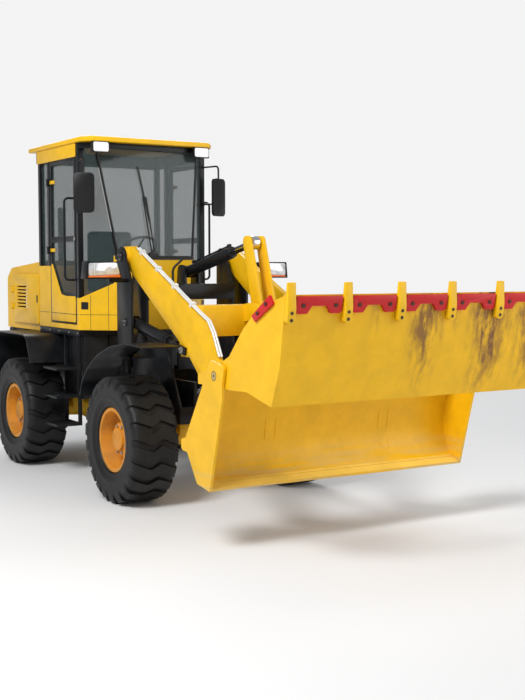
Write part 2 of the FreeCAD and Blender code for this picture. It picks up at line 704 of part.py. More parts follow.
def boom_pipes():
    """Two pipes over the arm's upper edge and the blocks that hold them."""
    dx = c.knee_x - c.arm_top_x
    dz = c.knee_z - c.arm_top_z
    start = (c.pipe_back_x - c.arm_top_x) / dx
    end = (c.pipe_front_x - c.temple_x) / (c.shin_x - c.temple_x)
    corners = (
        # x, z
        (c.pipe_back_x, c.arm_top_z + dz * start), (c.knee_x, c.knee_z), (c.brow_x, c.brow_z),
        (c.temple_x, c.temple_z), (c.pipe_front_x, c.temple_z + (c.shin_z - c.temple_z) * end),
    )
    items = []
    for y in (c.pipe_near_y, c.pipe_far_y):
        route = [(boom_x + x + c.pipe_step, y, boom_z + z + c.pipe_lift) for x, z in corners]
        items.append(tube_path("pipe", route, c.pipe_radius, c.pipe_bend))
    angle = slope(dx, dz)
    middle = (c.pipe_near_y + c.pipe_far_y) / 2
    for index in range(int(c.clamp_count.value)):
        share = c.clamp_first + c.clamp_pitch * index
        block = side_plate("pipe_clamp", [
            (0.0, c.clamp_sink), (c.clamp_long, c.clamp_sink), (c.clamp_long, c.clamp_high),
            (0.0, c.clamp_high),
        ], c.clamp_half * 2, 0.0)
        items.append(place(block, boom_x + c.arm_top_x + dx * share, middle,
                           boom_z + c.arm_top_z + dz * share, -angle))
    return keep("boom_pipes", joined("boom_pipes", items))


boom_pipes()

# Rocker: two bent plates on a tube, with the pins of the tilt rod and the link
ROCKER_SIZES = {
    "rocker_top_x": -180.0, "rocker_top_z": 550.0, "rocker_foot_x": 0.0, "rocker_foot_z": -640.0,
    "rocker_end_radius": 58.0, "rocker_waist": 80.0, "rocker_tube_radius": 52.0, "link_radius": 48.0,
    "link_half": 28.0, "link_bar_half": 34.0, "link_lug_x": 152.0, "link_lug_z": 264.0,
    "link_pin_radius": 26.0,
}
c.add(ROCKER_SIZES)
rocker_top_x = rocker_x + c.rocker_top_x
rocker_top_z = rocker_z + c.rocker_top_z
rocker_foot_x = rocker_x + c.rocker_foot_x
rocker_foot_z = rocker_z + c.rocker_foot_z
link_eye_x = bucket_pin_x + c.link_lug_x
link_eye_z = bucket_pin_z + c.link_lug_z


def rocker():
    """Two plates, the tube round the boom's pin and the foot pin."""
    end = c.rocker_end_radius
    outline = [
        (rocker_top_x - end, rocker_top_z + end), (rocker_top_x + end, rocker_top_z + end),
        (rocker_x + c.rocker_waist, rocker_z), (rocker_foot_x + end, rocker_foot_z - end),
        (rocker_foot_x - end, rocker_foot_z - end), (rocker_x - c.rocker_waist, rocker_z),
    ]
    items = []
    for side in (-1, 1):
        items.append(side_plate("rocker_plate", outline, c.rocker_wall, c.rocker_half * side,
                                rounds=((outline[:2] + outline[3:5], end * c.round_share),)))
    reach = c.rocker_half + c.rocker_wall / 2
    items.append(bar_y("rocker_tube", rocker_x, rocker_z, c.rocker_tube_radius, -reach, reach))
    items.append(bar_y("foot_pin", rocker_foot_x, rocker_foot_z, c.link_pin_radius, -reach, reach))
    bore = bar_y("rocker_bore", rocker_x, rocker_z, c.cylinder_pin_radius + c.pin_gap, -c.arm_y, c.arm_y)
    return keep("rocker", cut("rocker", joined("rocker_whole", items), [bore]))


rocker()


def link():
    """The flat bar from the rocker's foot to the bucket; its front pin belongs to it."""
    dx = link_eye_x - rocker_foot_x
    dz = link_eye_z - rocker_foot_z
    angle = slope(dx, dz)
    length = span(dx, dz)
    r = c.link_radius
    half = c.link_bar_half
    body = side_plate("link_bar", [(0.0, -half), (length, -half), (length, half), (0.0, half)],
                      c.link_half * 2, 0.0)
    place(body, rocker_foot_x, 0.0, rocker_foot_z, -angle)
    items = [body]
    for x, z in ((rocker_foot_x, rocker_foot_z), (link_eye_x, link_eye_z)):
        items.append(bar_y("link_eye", x, z, r, -c.link_half, c.link_half))
    bore = bar_y("link_bore", rocker_foot_x, rocker_foot_z, c.link_pin_radius + c.pin_gap, -c.arm_y, c.arm_y)
    return keep("bucket_link", cut("bucket_link", joined("link_whole", items), [bore]))


link()

# Cylinders: a barrel with an eye at its base, a mouth ring, and a rod with its own eye
CYLINDER_SIZES = {
    "lift_barrel_radius": 48.0, "lift_rod_radius": 29.0, "lift_mouth": 705.0, "lift_rod_length": 862.0,
    "lift_eye_half": 40.0, "lift_fork_reach": 170.0, "fork_block_half": 32.0, "fork_bridge": 28.0,
    "lift_fork_wall": 20.0, "tilt_barrel_radius": 52.0, "tilt_rod_radius": 30.0, "tilt_mouth": 820.0,
    "tilt_rod_length": 640.0, "clam_barrel_radius": 34.0, "clam_rod_radius": 18.0, "clam_mouth": 455.0,
    "clam_rod_length": 440.0, "clam_eye_half": 20.0, "small_pin_radius": 18.0, "eye_wall": 24.0,
    "bore_floor": 4.0, "tilt_rod_eye_radius": 55.0, "port_start": 105.0, "port_long": 30.0,
    "port_half": 15.0, "port_rise": 26.0,
    "port_pipe_radius": 8.0, "gland_long": 36.0, "gland_step": 5.0,
}
c.add(CYLINDER_SIZES)


def barrel(name, x, y, z, angle, radius, rod_radius, mouth, eye_half, pin_radius, port_side):
    """A cylinder's barrel with its gland ring; port_side puts the oil pipe above (1) or below (-1)."""
    eye = pin_radius + c.eye_wall
    items = [
        bar_y(name + "_eye", x, z, eye, y - eye_half, y + eye_half),
        bar_along(name + "_tube", x, y, z, angle, pin_radius + c.bore_floor, mouth - c.gland_long, radius),
        bar_along(name + "_gland", x, y, z, angle, pin_radius + c.bore_floor, mouth,
                  radius - c.gland_step),
    ]
    axis = (radius + c.port_rise / 2) * port_side
    far_port = mouth - c.gland_long - c.port_long
    pipe = bar_along(name + "_pipe", x - sine(angle) * axis, y, z + cosine(angle) * axis, angle,
                     c.port_start, far_port, c.port_pipe_radius)
    items.append(pipe)
    for start in (c.port_start, far_port):
        block = side_plate(name + "_port", [
            (start, 0.0), (start + c.port_long, 0.0),
            (start + c.port_long, (radius + c.port_rise) * port_side),
            (start, (radius + c.port_rise) * port_side),
        ], c.port_half * 2, 0.0)
        items.append(place(block, x, y, z, -angle))
    solid = joined(name + "_solid", items)
    bores = [
        bar_y(name + "_pin_bore", x, z, pin_radius + c.pin_gap, y - eye_half * 2, y + eye_half * 2),
        bar_along(name + "_bore", x, y, z, angle, eye + c.bore_floor, mouth * 2, rod_radius + c.pin_gap),
    ]
    return cut(name, solid, bores)


lift_dx = lift_eye_x - lift_x
lift_dz = lift_eye_z - lift_z
lift_angle = slope(lift_dx, lift_dz)
lift_length = span(lift_dx, lift_dz)


def lift_cylinders():
    """The two lift cylinders below the arms, their rods ending in forks."""
    barrels = []
    rods = []
    for side in (-1, 1):
        y = c.arm_y * side
        barrels.append(barrel("lift_barrel", lift_x, y, lift_z, lift_angle, c.lift_barrel_radius,
                              c.lift_rod_radius, c.lift_mouth, c.lift_eye_half, c.cylinder_pin_radius,
                              -1))
        fork_y = c.arm_wall / 2 + c.side_gap + c.lift_fork_wall / 2
        bridge = lift_length - c.lift_fork_reach
        items = [
            bar_along("lift_rod", lift_x, y, lift_z, lift_angle, lift_length - c.lift_rod_length,
                      bridge, c.lift_rod_radius),
        ]
        block = side_plate("fork_block", [
            (bridge - c.fork_bridge, -c.fork_block_half), (bridge, -c.fork_block_half),
            (bridge, c.fork_block_half), (bridge - c.fork_bridge, c.fork_block_half),
        ], fork_y * 2 + c.lift_fork_wall, 0.0)
        items.append(place(block, lift_x, y, lift_z, -lift_angle))
        for way in (-1, 1):
            cheek = side_plate("fork_cheek", [
                (bridge - c.fork_bridge, -c.fork_block_half),
                (lift_length + c.eye_radius, -c.fork_block_half),
                (lift_length + c.eye_radius, c.fork_block_half),
                (bridge - c.fork_bridge, c.fork_block_half),
            ], c.lift_fork_wall, 0.0)
            items.append(place(cheek, lift_x, y + fork_y * way, lift_z, -lift_angle))
        rods.append(joined("lift_rod_whole", items))
    keep("lift_barrels", group("lift_barrels", barrels))
    keep("lift_rods", group("lift_rods", rods))


lift_cylinders()

tilt_dx = rocker_top_x - tilt_x
tilt_dz = rocker_top_z - tilt_z
tilt_angle = slope(tilt_dx, tilt_dz)
tilt_length = span(tilt_dx, tilt_dz)


def tilt_cylinder():
    """The single tilt cylinder above the boom."""
    keep("tilt_barrel", barrel("tilt_barrel", tilt_x, 0.0, tilt_z, tilt_angle, c.tilt_barrel_radius,
                               c.tilt_rod_radius, c.tilt_mouth, c.tilt_base_half, c.cylinder_pin_radius,
                               1))
    items = [
        bar_along("tilt_rod_bar", tilt_x, 0.0, tilt_z, tilt_angle, tilt_length - c.tilt_rod_length,
                  tilt_length, c.tilt_rod_radius),
        bar_y("tilt_rod_eye", rocker_top_x, rocker_top_z, c.tilt_rod_eye_radius, -c.tilt_eye_half,
              c.tilt_eye_half),
    ]
    keep("tilt_rod", joined("tilt_rod", items))


tilt_cylinder()

# Four-in-one bucket: the moldboard with its end plates, pins and lugs
BUCKET_SIZES = {
    "bucket_half": 1135.0, "end_wall": 20.0, "skin_wall": 14.0, "lip_x": 481.0, "lip_z": -258.0,
    "lip_back_x": 300.0, "lip_back_z": -231.0, "rump_x": 106.0, "rump_z": 41.0, "end_back_x": 408.0,
    "end_back_z": 508.0, "end_top_x": 494.0, "end_top_z": 656.0, "end_front_x": 687.0,
    "end_front_z": 622.0, "jaw_x": 659.0, "jaw_high_z": 492.0, "jaw_low_z": 397.0, "hinge_x": 545.0,
    "hinge_z": 550.0, "hinge_radius": 46.0, "skin_top_x": 450.0,
    "skin_top_z": 475.0, "skin_mid_x": 315.0, "skin_mid_z": 250.0, "skin_low_x": 275.0,
    "skin_low_z": 0.0, "skin_foot_x": 345.0, "skin_foot_z": -170.0, "lug_wall": 24.0, "lug_gap": 8.0,
    "clam_pin_x": 100.0, "clam_pin_z": 20.0, "clam_lug_reach": 132.0, "clam_lug_wall": 18.0,
    "clam_lug_radius": 38.0, "hinge_pin_long": 150.0, "skin_round": 430.0, "skin_foot_round": 150.0,
    "end_round": 60.0, "skin_low_drop": 2.8, "skin_mid_rise": 5.6, "lug_sink": 11.0,
    "link_lug_low": 150.0, "link_lug_high_x": 375.0, "link_lug_high_z": 350.0,
}
c.add(BUCKET_SIZES)
bx = bucket_pin_x
bz = bucket_pin_z
hinge_x = bx + c.hinge_x
hinge_z = bz + c.hinge_z
clam_pin_x = bx + c.clam_pin_x
clam_pin_z = bz + c.clam_pin_z


def moldboard():
    """The curved back wall, its end plates, the mounting lugs and the hinge tube."""
    def at(x, z):
        return (bx + x, bz + z)

    ends = [
        at(c.lip_x, c.lip_z), at(c.jaw_x, c.jaw_low_z), at(c.jaw_x, c.jaw_high_z),
        at(c.end_front_x, c.end_front_z), at(c.end_top_x, c.end_top_z),
        at(c.end_back_x, c.end_back_z), at(c.rump_x, c.rump_z), at(c.lip_back_x, c.lip_back_z),
    ]
    wall = c.skin_wall
    skin = [
        at(c.skin_top_x, c.skin_top_z), at(c.skin_mid_x, c.skin_mid_z),
        at(c.skin_low_x, c.skin_low_z), at(c.skin_foot_x, c.skin_foot_z),
        at(c.lip_x, c.lip_z + wall), at(c.lip_x, c.lip_z),
        at(c.skin_foot_x - wall, c.skin_foot_z - wall),
        at(c.skin_low_x - wall, c.skin_low_z - c.skin_low_drop),
        at(c.skin_mid_x - wall, c.skin_mid_z + c.skin_mid_rise), at(c.skin_top_x - wall, c.skin_top_z),
    ]
    items = [side_plate("skin", skin, c.bucket_half * 2 - c.end_wall, 0.0, rounds=(
        (skin[1:3], c.skin_round), (skin[7:9], c.skin_round + wall), (skin[3:4], c.skin_foot_round),
        (skin[6:7], c.skin_foot_round + wall)))]
    end_y = c.bucket_half - c.end_wall / 2
    for side in (-1, 1):
        items.append(side_plate("end_plate", ends, c.end_wall, end_y * side,
                                rounds=((ends[6:7], c.end_round), (ends[3:5], c.end_round / 2))))
        for way in (-1, 1):
            lug_y = c.arm_y * side + (c.arm_wall / 2 + c.lug_gap + c.lug_wall / 2) * way
            lug = [
                at(-c.foot_radius, -c.foot_radius), at(c.skin_foot_x, c.skin_foot_z - wall),
                at(c.skin_low_x + c.lug_sink, c.skin_low_z), at(c.skin_mid_x, c.skin_mid_z),
                at(0.0, c.foot_radius), at(-c.foot_radius, c.foot_radius / 2),
            ]
            items.append(side_plate("foot_lug", lug, c.lug_wall, lug_y,
                                    rounds=((lug[:1], c.end_round * c.round_share),)))
        reach = c.arm_wall / 2 + c.lug_gap + c.lug_wall
        items.append(bar_y("foot_pin", bx, bz, c.cylinder_pin_radius, c.arm_y * side - reach,
                           c.arm_y * side + reach))
        low, high = (c.bucket_half - c.hinge_pin_long, c.bucket_half)
        if side == -1:
            low, high = -high, -low
        items.append(bar_y("hinge_pin", hinge_x, hinge_z, c.cylinder_pin_radius, low, high))
        lug_y = (c.link_half + c.lug_gap + c.lug_wall / 2) * side
        lug = [
            (link_eye_x - c.link_radius, link_eye_z - c.link_radius), at(c.skin_low_x, c.link_lug_low),
            at(c.skin_mid_x, c.skin_mid_z), at(c.link_lug_high_x, c.link_lug_high_z),
            (link_eye_x - c.link_radius, link_eye_z + c.link_radius),
        ]
        items.append(side_plate("link_lug", lug, c.lug_wall, lug_y))
        pin_low, pin_high = (c.bucket_half - c.clam_lug_reach, c.bucket_half)
        if side == -1:
            pin_low, pin_high = -pin_high, -pin_low
        items.append(bar_y("clam_pin", clam_pin_x, clam_pin_z, c.small_pin_radius, pin_low, pin_high))
        lug = [
            (clam_pin_x - c.clam_lug_radius, clam_pin_z - c.clam_lug_radius),
            at(c.skin_low_x + c.lug_sink, c.skin_low_z - c.clam_lug_radius),
            at(c.skin_low_x + c.lug_sink, c.skin_low_z + c.skin_mid_z / 2),
            (clam_pin_x - c.clam_lug_radius, clam_pin_z + c.clam_lug_radius),
        ]
        for lug_y in (c.bucket_half - c.clam_lug_reach + c.clam_lug_wall / 2, c.bucket_half - c.end_wall / 2):
            wall_here = c.clam_lug_wall if lug_y.value < (c.bucket_half - c.end_wall).value else c.end_wall
            items.append(side_plate("clam_lug", lug, wall_here, lug_y * side,
                                    rounds=(((lug[0], lug[3]), c.clam_lug_radius * c.round_share),)))
    return keep("moldboard", joined("moldboard", items))


moldboard()

# Clam: side plates on the hinge pins, a floor with its lip, teeth and edge segments
CLAM_SIZES = {
    "clam_gap": 6.0, "clam_wall": 20.0, "floor_wall": 16.0, "clam_back_x": 155.0, "clam_back_z": -14.0,
    "clam_low1_x": 391.0, "clam_low1_z": -76.0, "clam_low2_x": 696.0, "clam_low2_z": -146.0,
    "bend_x": 794.0, "bend_z": 114.0, "edge_x": 862.0, "edge_z": 568.0, "clam_top1_x": 518.0,
    "clam_top1_z": 465.0, "clam_top2_x": 341.0, "clam_top2_z": 329.0, "clam_top3_x": 164.0,
    "clam_top3_z": 143.0, "lever_x": -236.0, "lever_z": -42.0, "lever_radius": 36.0, "tooth_count": 6.0,
    "tooth_wide": 62.0, "tooth_long": 260.0, "tooth_wall": 42.0, "tooth_out": 78.0, "tooth_tip": 13.0,
    "tooth_round": 16.0, "segment_wall": 22.0, "segment_gap": 10.0, "segment_top": 9.0,
    "segment_lobe": 118.0, "segment_waist": 69.0, "segment_end": 85.0, "segment_round": 17.0,
    "segment_hole": 12.0, "segment_hole_in": 52.0, "segment_hole_low": 66.0, "cutter_back": 37.0,
    "cutter_drop": 40.0, "cutter_tip_x": 699.0, "cutter_wide": 58.0, "cutter_wall": 16.0,
    "cutter_lean": 41.0, "cutter_fall": 35.0,
}
c.add(CLAM_SIZES)
clam_half = c.bucket_half - c.end_wall - c.clam_gap


def clam():
    """The front half of the bucket, swung up about its hinge."""
    def at(x, z):
        return (hinge_x + x, hinge_z + z)

    r = c.hinge_radius + c.eye_wall
    side_outline = [
        at(c.lever_x - c.lever_radius, c.lever_z - c.lever_radius), at(0.0, -r),
        at(c.clam_back_x, c.clam_back_z - r), at(c.clam_low1_x, c.clam_low1_z),
        at(c.clam_low2_x, c.clam_low2_z), at(c.bend_x, c.bend_z), at(c.edge_x, c.edge_z),
        at(c.clam_top1_x, c.clam_top1_z), at(c.clam_top2_x, c.clam_top2_z),
        at(c.clam_top3_x, c.clam_top3_z), at(0.0, r),
        at(c.lever_x - c.lever_radius, c.lever_z + c.lever_radius),
    ]
    items = []
    bores = []
    y = clam_half - c.clam_wall / 2
    for side in (-1, 1):
        items.append(side_plate("clam_side", side_outline, c.clam_wall, y * side))
        bores.append(bar_y("clam_bore", hinge_x, hinge_z, c.cylinder_pin_radius + c.pin_gap,
                           y * side - c.clam_wall, y * side + c.clam_wall))
    wall = c.floor_wall
    floor = [
        at(c.clam_low2_x, c.clam_low2_z), at(c.bend_x, c.bend_z), at(c.edge_x, c.edge_z),
        at(c.edge_x - wall, c.edge_z), at(c.bend_x - wall, c.bend_z),
        at(c.clam_low2_x - wall, c.clam_low2_z + wall / 2),
    ]
    items.append(side_plate("clam_floor", floor, clam_half * 2, 0.0))
    keep("clam", cut("clam", joined("clam_whole", items), bores))


clam()


def teeth():
    """Teeth on long bolted straps, tilted with the clam's upper skin."""
    items = []
    count = int(c.tooth_count.value)
    pitch = (clam_half * 2 - c.tooth_wide) / (c.tooth_count - 1)
    half = c.tooth_wide / 2
    foot = c.tooth_out - c.tooth_long
    lean = as_size(90.0) - slope(c.edge_x - c.bend_x, c.edge_z - c.bend_z)
    for index in range(count):
        body = new_body("tooth")
        strap = [
            (-half, c.tooth_out), (half, c.tooth_out), (half, foot + c.tooth_round),
            (half - c.tooth_round, foot), (c.tooth_round - half, foot), (-half, foot + c.tooth_round),
        ]
        pad(body, sketch(body, "YZ_Plane", strap), c.tooth_wall, False)
        wedge = [
            (c.tooth_tip, c.tooth_out), (c.tooth_wall * 2, c.tooth_out), (c.tooth_wall * 2, -c.tooth_out),
            (c.tooth_wall, -c.tooth_out),
        ]
        pocket(body, sketch(body, "XZ_Plane", wedge), c.tooth_wide * 2)
        y = pitch * index - clam_half + half
        items.append(place(body, hinge_x + c.edge_x + c.fit_gap, y, hinge_z + c.edge_z, lean))
    keep("bucket_teeth", group("bucket_teeth", items))


teeth()


def edge_segments():
    """Bolted wear plates between the teeth and a cutter on each end of the clam."""
    items = []
    count = int(c.tooth_count.value) - 1
    pitch = (clam_half * 2 - c.tooth_wide) / (c.tooth_count - 1)
    half = (pitch - c.tooth_wide) / 2 - c.segment_gap
    lean = as_size(90.0) - slope(c.edge_x - c.bend_x, c.edge_z - c.bend_z)
    outline = [
        (-half, -c.segment_top), (-half, c.segment_round - c.segment_lobe),
        (c.segment_round - half, -c.segment_lobe), (c.segment_end - half, -c.segment_lobe),
        (c.segment_end + c.segment_round * 2 - half, -c.segment_waist),
    ]
    outline += [(-u, v) for u, v in reversed(outline)]
    for index in range(count):
        body = new_body("segment")
        holes = [((half - c.segment_hole_in) * way, -c.segment_hole_low, c.segment_hole) for way in (-1, 1)]
        pad(body, sketch(body, "YZ_Plane", outline, holes), c.segment_wall, False)
        y = pitch * (index + 0.5) - clam_half + c.tooth_wide / 2
        items.append(place(body, hinge_x + c.edge_x + c.fit_gap, y, hinge_z + c.edge_z, lean))
    cutter = [
        (hinge_x + c.clam_top1_x - c.cutter_back, hinge_z + c.clam_top1_z - c.cutter_drop),
        (hinge_x + c.cutter_tip_x, hinge_z + c.edge_z - c.segment_gap / 2),
        (hinge_x + c.cutter_tip_x + c.cutter_lean, hinge_z + c.edge_z - c.cutter_wide),
        (hinge_x + c.clam_top1_x - c.cutter_back + c.cutter_lean,
         hinge_z + c.clam_top1_z - c.cutter_drop - c.cutter_fall),
    ]
    for side in (-1, 1):
        y = (clam_half + c.fit_gap + c.cutter_wall / 2) * side
        items.append(side_plate("side_cutter", cutter, c.cutter_wall, y))
    keep("edge_segments", group("edge_segments", items))


edge_segments()


def clam_cylinders():
    """One cylinder behind each end of the moldboard."""
    tip_x = hinge_x + c.lever_x
    tip_z = hinge_z + c.lever_z
    dx = tip_x - clam_pin_x
    dz = tip_z - clam_pin_z
    angle = slope(dx, dz)
    length = span(dx, dz)
    barrels = []
    rods = []
    for side in (-1, 1):
        y = (clam_half - c.clam_wall - c.side_gap - c.clam_eye_half) * side
        barrels.append(barrel("clam_barrel", clam_pin_x, y, clam_pin_z, angle, c.clam_barrel_radius,
                              c.clam_rod_radius, c.clam_mouth, c.clam_eye_half, c.small_pin_radius,
                              1))
        rods.append(joined("clam_rod", [
            bar_along("clam_rod_bar", clam_pin_x, y, clam_pin_z, angle, length - c.clam_rod_length, length,
                      c.clam_rod_radius),
            bar_y("clam_rod_eye", tip_x, tip_z, c.lever_radius, y - c.clam_eye_half, y + c.clam_eye_half),
        ]))
    keep("clam_barrels", group("clam_barrels", barrels))
    keep("clam_rods", group("clam_rods", rods))


clam_cylinders()

# Cab: a yellow base on the platform, black posts, a roof, fixed panes and two doors
CAB_SIZES = {
    "cab_front_x": -1100.0, "cab_nose_half": 380.0, "cab_corner_x": -1400.0, "cab_wall": 45.0,
    "cab_floor": 48.0, "cowl_z": 2100.0, "sill_front_x": -1150.0, "sill_front_z": 1840.0,
    "sill_z": 1700.0, "sill_mid_x": -1850.0, "sill_back_x": -2080.0, "sill_back_z": 2005.0,
    "door_front_x": -1452.0, "door_back_x": -2128.0, "door_low_z": 1440.0, "door_gap": 6.0,
    "post_size": 50.0, "post_y": 655.0, "frame_top_z": 3110.0, "ring_wall": 55.0,
    "header_low_z": 3036.0, "header_wall": 7.7, "header_front_x": -1440.0, "screen_post": 18.0,
    "post_screen_x": -1125.0, "post_screen_y": 395.0, "post_screen_top_x": -1290.0,
    "post_screen_top_y": 535.0, "post_a_x": -1415.0, "post_a_top_x": -1415.0, "post_b_x": -2165.0,
    "post_c_x": -2412.0, "ring_front_x": -1262.0, "ring_nose_half": 560.0, "ring_corner_x": -1400.0,
    "roof_front_x": -1176.0, "roof_nose_half": 622.0, "roof_corner_x": -1290.0, "roof_back_x": -2650.0,
    "roof_half": 701.0, "roof_wall": 48.0, "roof_round": 20.0, "seat_gap": 0.3, "glass_wall": 6.0,
    "cut_over": 200.0,
}
c.add(CAB_SIZES)


def forward(x):
    """A place measured from the front axle, in the loader's frame."""
    return front_x + x


def plan(front, nose_half, corner, half, back):
    """A cab outline seen from above: a flat nose, two slanted corners and a straight back."""
    return [(front, -nose_half), (front, nose_half), (corner, half), (back, half),
            (back, -half), (corner, -half)]


def cab_base():
    """The yellow lower walls and the floor, with the door openings."""
    body = new_body("cab_base")
    front = forward(c.cab_front_x)
    corner = forward(c.cab_corner_x)
    outside = plan(front, c.cab_nose_half, corner, c.cab_half, cab_back)
    pad(body, sketch(body, "XY_Plane", outside, lift=platform_top), c.cowl_z - platform_top, False)
    wall = c.cab_wall
    inside = plan(front - wall, c.cab_nose_half - wall * c.slant_share, corner - wall * c.slant_share,
                  c.cab_half - wall, cab_back + wall)
    floor_top = platform_top + c.cab_floor
    pocket(body, sketch(body, "XY_Plane", inside, lift=floor_top), c.cowl_z, False, True)
    over = c.cowl_z + c.cut_over
    sill = [
        (forward(c.sill_front_x), over), (forward(c.sill_front_x), c.sill_front_z),
        (forward(c.post_a_x) + c.post_size / 2, c.sill_z), (forward(c.sill_mid_x), c.sill_z),
        (forward(c.sill_back_x), c.sill_back_z), (cab_back - c.cut_over, c.sill_back_z),
        (cab_back - c.cut_over, over),
    ]
    pocket(body, sketch(body, "XZ_Plane", sill), c.cab_half * 3)
    opening = [
        (forward(c.door_front_x), c.door_low_z), (forward(c.door_front_x), over),
        (forward(c.door_back_x), over), (forward(c.door_back_x), c.door_low_z),
    ]
    pocket(body, sketch(body, "XZ_Plane", opening), c.cab_half * 3)
    keep("cab_base", body)


cab_base()


def post(name, foot, head, size):
    """A square post from one point to another, cut level at both ends."""
    body = new_body(name)
    half = size / 2
    ends = []
    for x, y, z in (foot, head):
        square = [(x - half, y - half), (x + half, y - half), (x + half, y + half), (x - half, y + half)]
        ends.append(sketch(body, "XY_Plane", square, lift=z))
    feature = body.newObject("PartDesign::AdditiveLoft", "Post")
    feature.Profile = ends[0]
    feature.Sections = [ends[1]]
    feature.Ruled = True
    body.Tip = feature
    return body


DOOR_HINGE_SIZES = {
    "door_hinge_out": 20.0, "knuckle_radius": 12.0, "door_pin_radius": 6.0,
    "knuckle_half": 26.0, "bracket_wall": 8.0, "knuckle_gap": 1.0, "hinge_high_door_z": 2830.0,
    "hinge_low_door_z": 2160.0, "door_wall": 30.0, "door_top_z": 3030.0,
}
c.add(DOOR_HINGE_SIZES)
door_axis_x = forward(c.door_back_x) - c.door_gap
door_axis_y = c.post_y + c.post_size / 2 + c.door_hinge_out


def cab_frame():
    """The posts, the ring under the roof and the fixed halves of the door hinges."""
    top = c.frame_top_z
    table = (
        # foot x, foot y, foot z, head x, head y, size
        (c.post_screen_x, c.post_screen_y, c.cowl_z, c.post_screen_top_x, c.post_screen_top_y,
         c.screen_post),
        (c.post_a_x, c.post_y, c.sill_z, c.post_a_top_x, c.post_y, c.post_size),
        (c.post_b_x, c.post_y, c.sill_back_z, c.post_b_x, c.post_y, c.post_size),
        (c.post_c_x, c.post_y, c.sill_back_z, c.post_c_x, c.post_y, c.post_size),
    )
    items = []
    for side in (-1, 1):
        for foot_x, foot_y, foot_z, head_x, head_y, size in table:
            items.append(post("post", (forward(foot_x), foot_y * side, foot_z),
                              (forward(head_x), head_y * side, top), size))
        for z in (c.hinge_high_door_z, c.hinge_low_door_z):
            reach = c.knuckle_half + c.knuckle_gap
            items.append(bar_z("door_pin", door_axis_x, door_axis_y * side, c.door_pin_radius,
                               z - reach - c.bracket_wall, z + reach + c.bracket_wall))
            near = (c.post_y + c.post_size / 2 - c.bracket_wall) * side
            far = (door_axis_y + c.knuckle_radius) * side
            low, high = (near, far) if side == 1 else (far, near)
            for base in (z + reach, z - reach - c.bracket_wall):
                items.append(box("hinge_ear", door_axis_x - c.knuckle_radius * 2,
                                 door_axis_x + c.knuckle_radius, low, high, base, base + c.bracket_wall))
    half = c.post_y + c.post_size / 2
    outside = plan(forward(c.ring_front_x), c.ring_nose_half, forward(c.ring_corner_x), half, cab_back)
    wall = c.post_size
    inside = plan(forward(c.ring_front_x) - wall, c.ring_nose_half - wall * c.slant_share,
                  forward(c.ring_corner_x) - wall * c.slant_share, half - wall, cab_back + wall)
    ring = new_body("ring")
    low = c.header_low_z
    pad(ring, sketch(ring, "XY_Plane", outside, lift=low), top + c.ring_wall - low, False)
    pocket(ring, sketch(ring, "XY_Plane", inside, lift=low - wall), top - low + wall * 3, False, True)
    screen_back = forward(c.post_a_x) + wall / 2
    over_screen = [
        (screen_back, low - wall), (screen_back - c.cab_front_x, low - wall),
        (screen_back - c.cab_front_x, top), (screen_back, top),
    ]
    pocket(ring, sketch(ring, "XZ_Plane", over_screen), c.cab_half * 3)
    items.append(ring)
    keep("cab_frame", joined("cab_frame", items))


cab_frame()
ring_top = c.frame_top_z + c.ring_wall


def cab_roof():
    """The overhanging roof with its rounded upper edge."""
    body = new_body("cab_roof")
    outline = plan(forward(c.roof_front_x), c.roof_nose_half, forward(c.roof_corner_x), c.roof_half,
                   forward(c.roof_back_x))
    pad(body, sketch(body, "XY_Plane", outline, lift=ring_top), c.roof_wall, False)
    doc.recompute()
    base = body.Tip
    high = (ring_top + c.roof_wall).value
    names = []
    for index, edge in enumerate(base.Shape.Edges):
        if all(abs(vertex.Point.z - high) < NEAR for vertex in edge.Vertexes):
            names.append("Edge%d" % (index + 1))
    feature = body.newObject("PartDesign::Fillet", "EdgeRound")
    feature.Base = (base, names)
    bind(feature, "Radius", c.roof_round)
    body.Tip = feature
    keep("cab_roof", body)


cab_roof()


def cab_headers():
    """The yellow band under the roof's lip, along both sides and across the back."""
    inside = c.post_y + c.post_size / 2 + c.seat_gap
    outside = inside + c.header_wall
    front = forward(c.header_front_x)
    back = cab_back - c.seat_gap
    points = [
        (front, -outside), (front, -inside), (back, -inside), (back, inside), (front, inside),
        (front, outside), (back - c.header_wall, outside), (back - c.header_wall, -outside),
    ]
    high = ring_top - c.seat_gap - c.header_low_z
    band = level_plate("header", points, high, c.header_low_z + high / 2)
    keep("cab_headers", band)


cab_headers()


def pane(name, first, second, inset):
    """A thin pane between two upright lines; each line is given by its foot and head."""
    lines = []
    for foot, head in (first, second):
        lines.append((vector(*[as_size(n).value for n in foot]), vector(*[as_size(n).value for n in head])))
    along = lines[1][0] - lines[0][0]
    along.z = 0
    along.normalize()
    normal = vector(-along.y, along.x, 0) * (c.glass_wall.value / 2)
    step = along * as_size(inset).value
    wires = []
    for (foot, head), shift in zip(lines, (step, step * -1)):
        corners = [foot + shift - normal, head + shift - normal, head + shift + normal, foot + shift + normal]
        wires.append(Part.makePolygon(corners + corners[:1]))
    item = doc.addObject("Part::Feature", name)
    item.Shape = Part.makeLoft(wires, True, True)
    return item


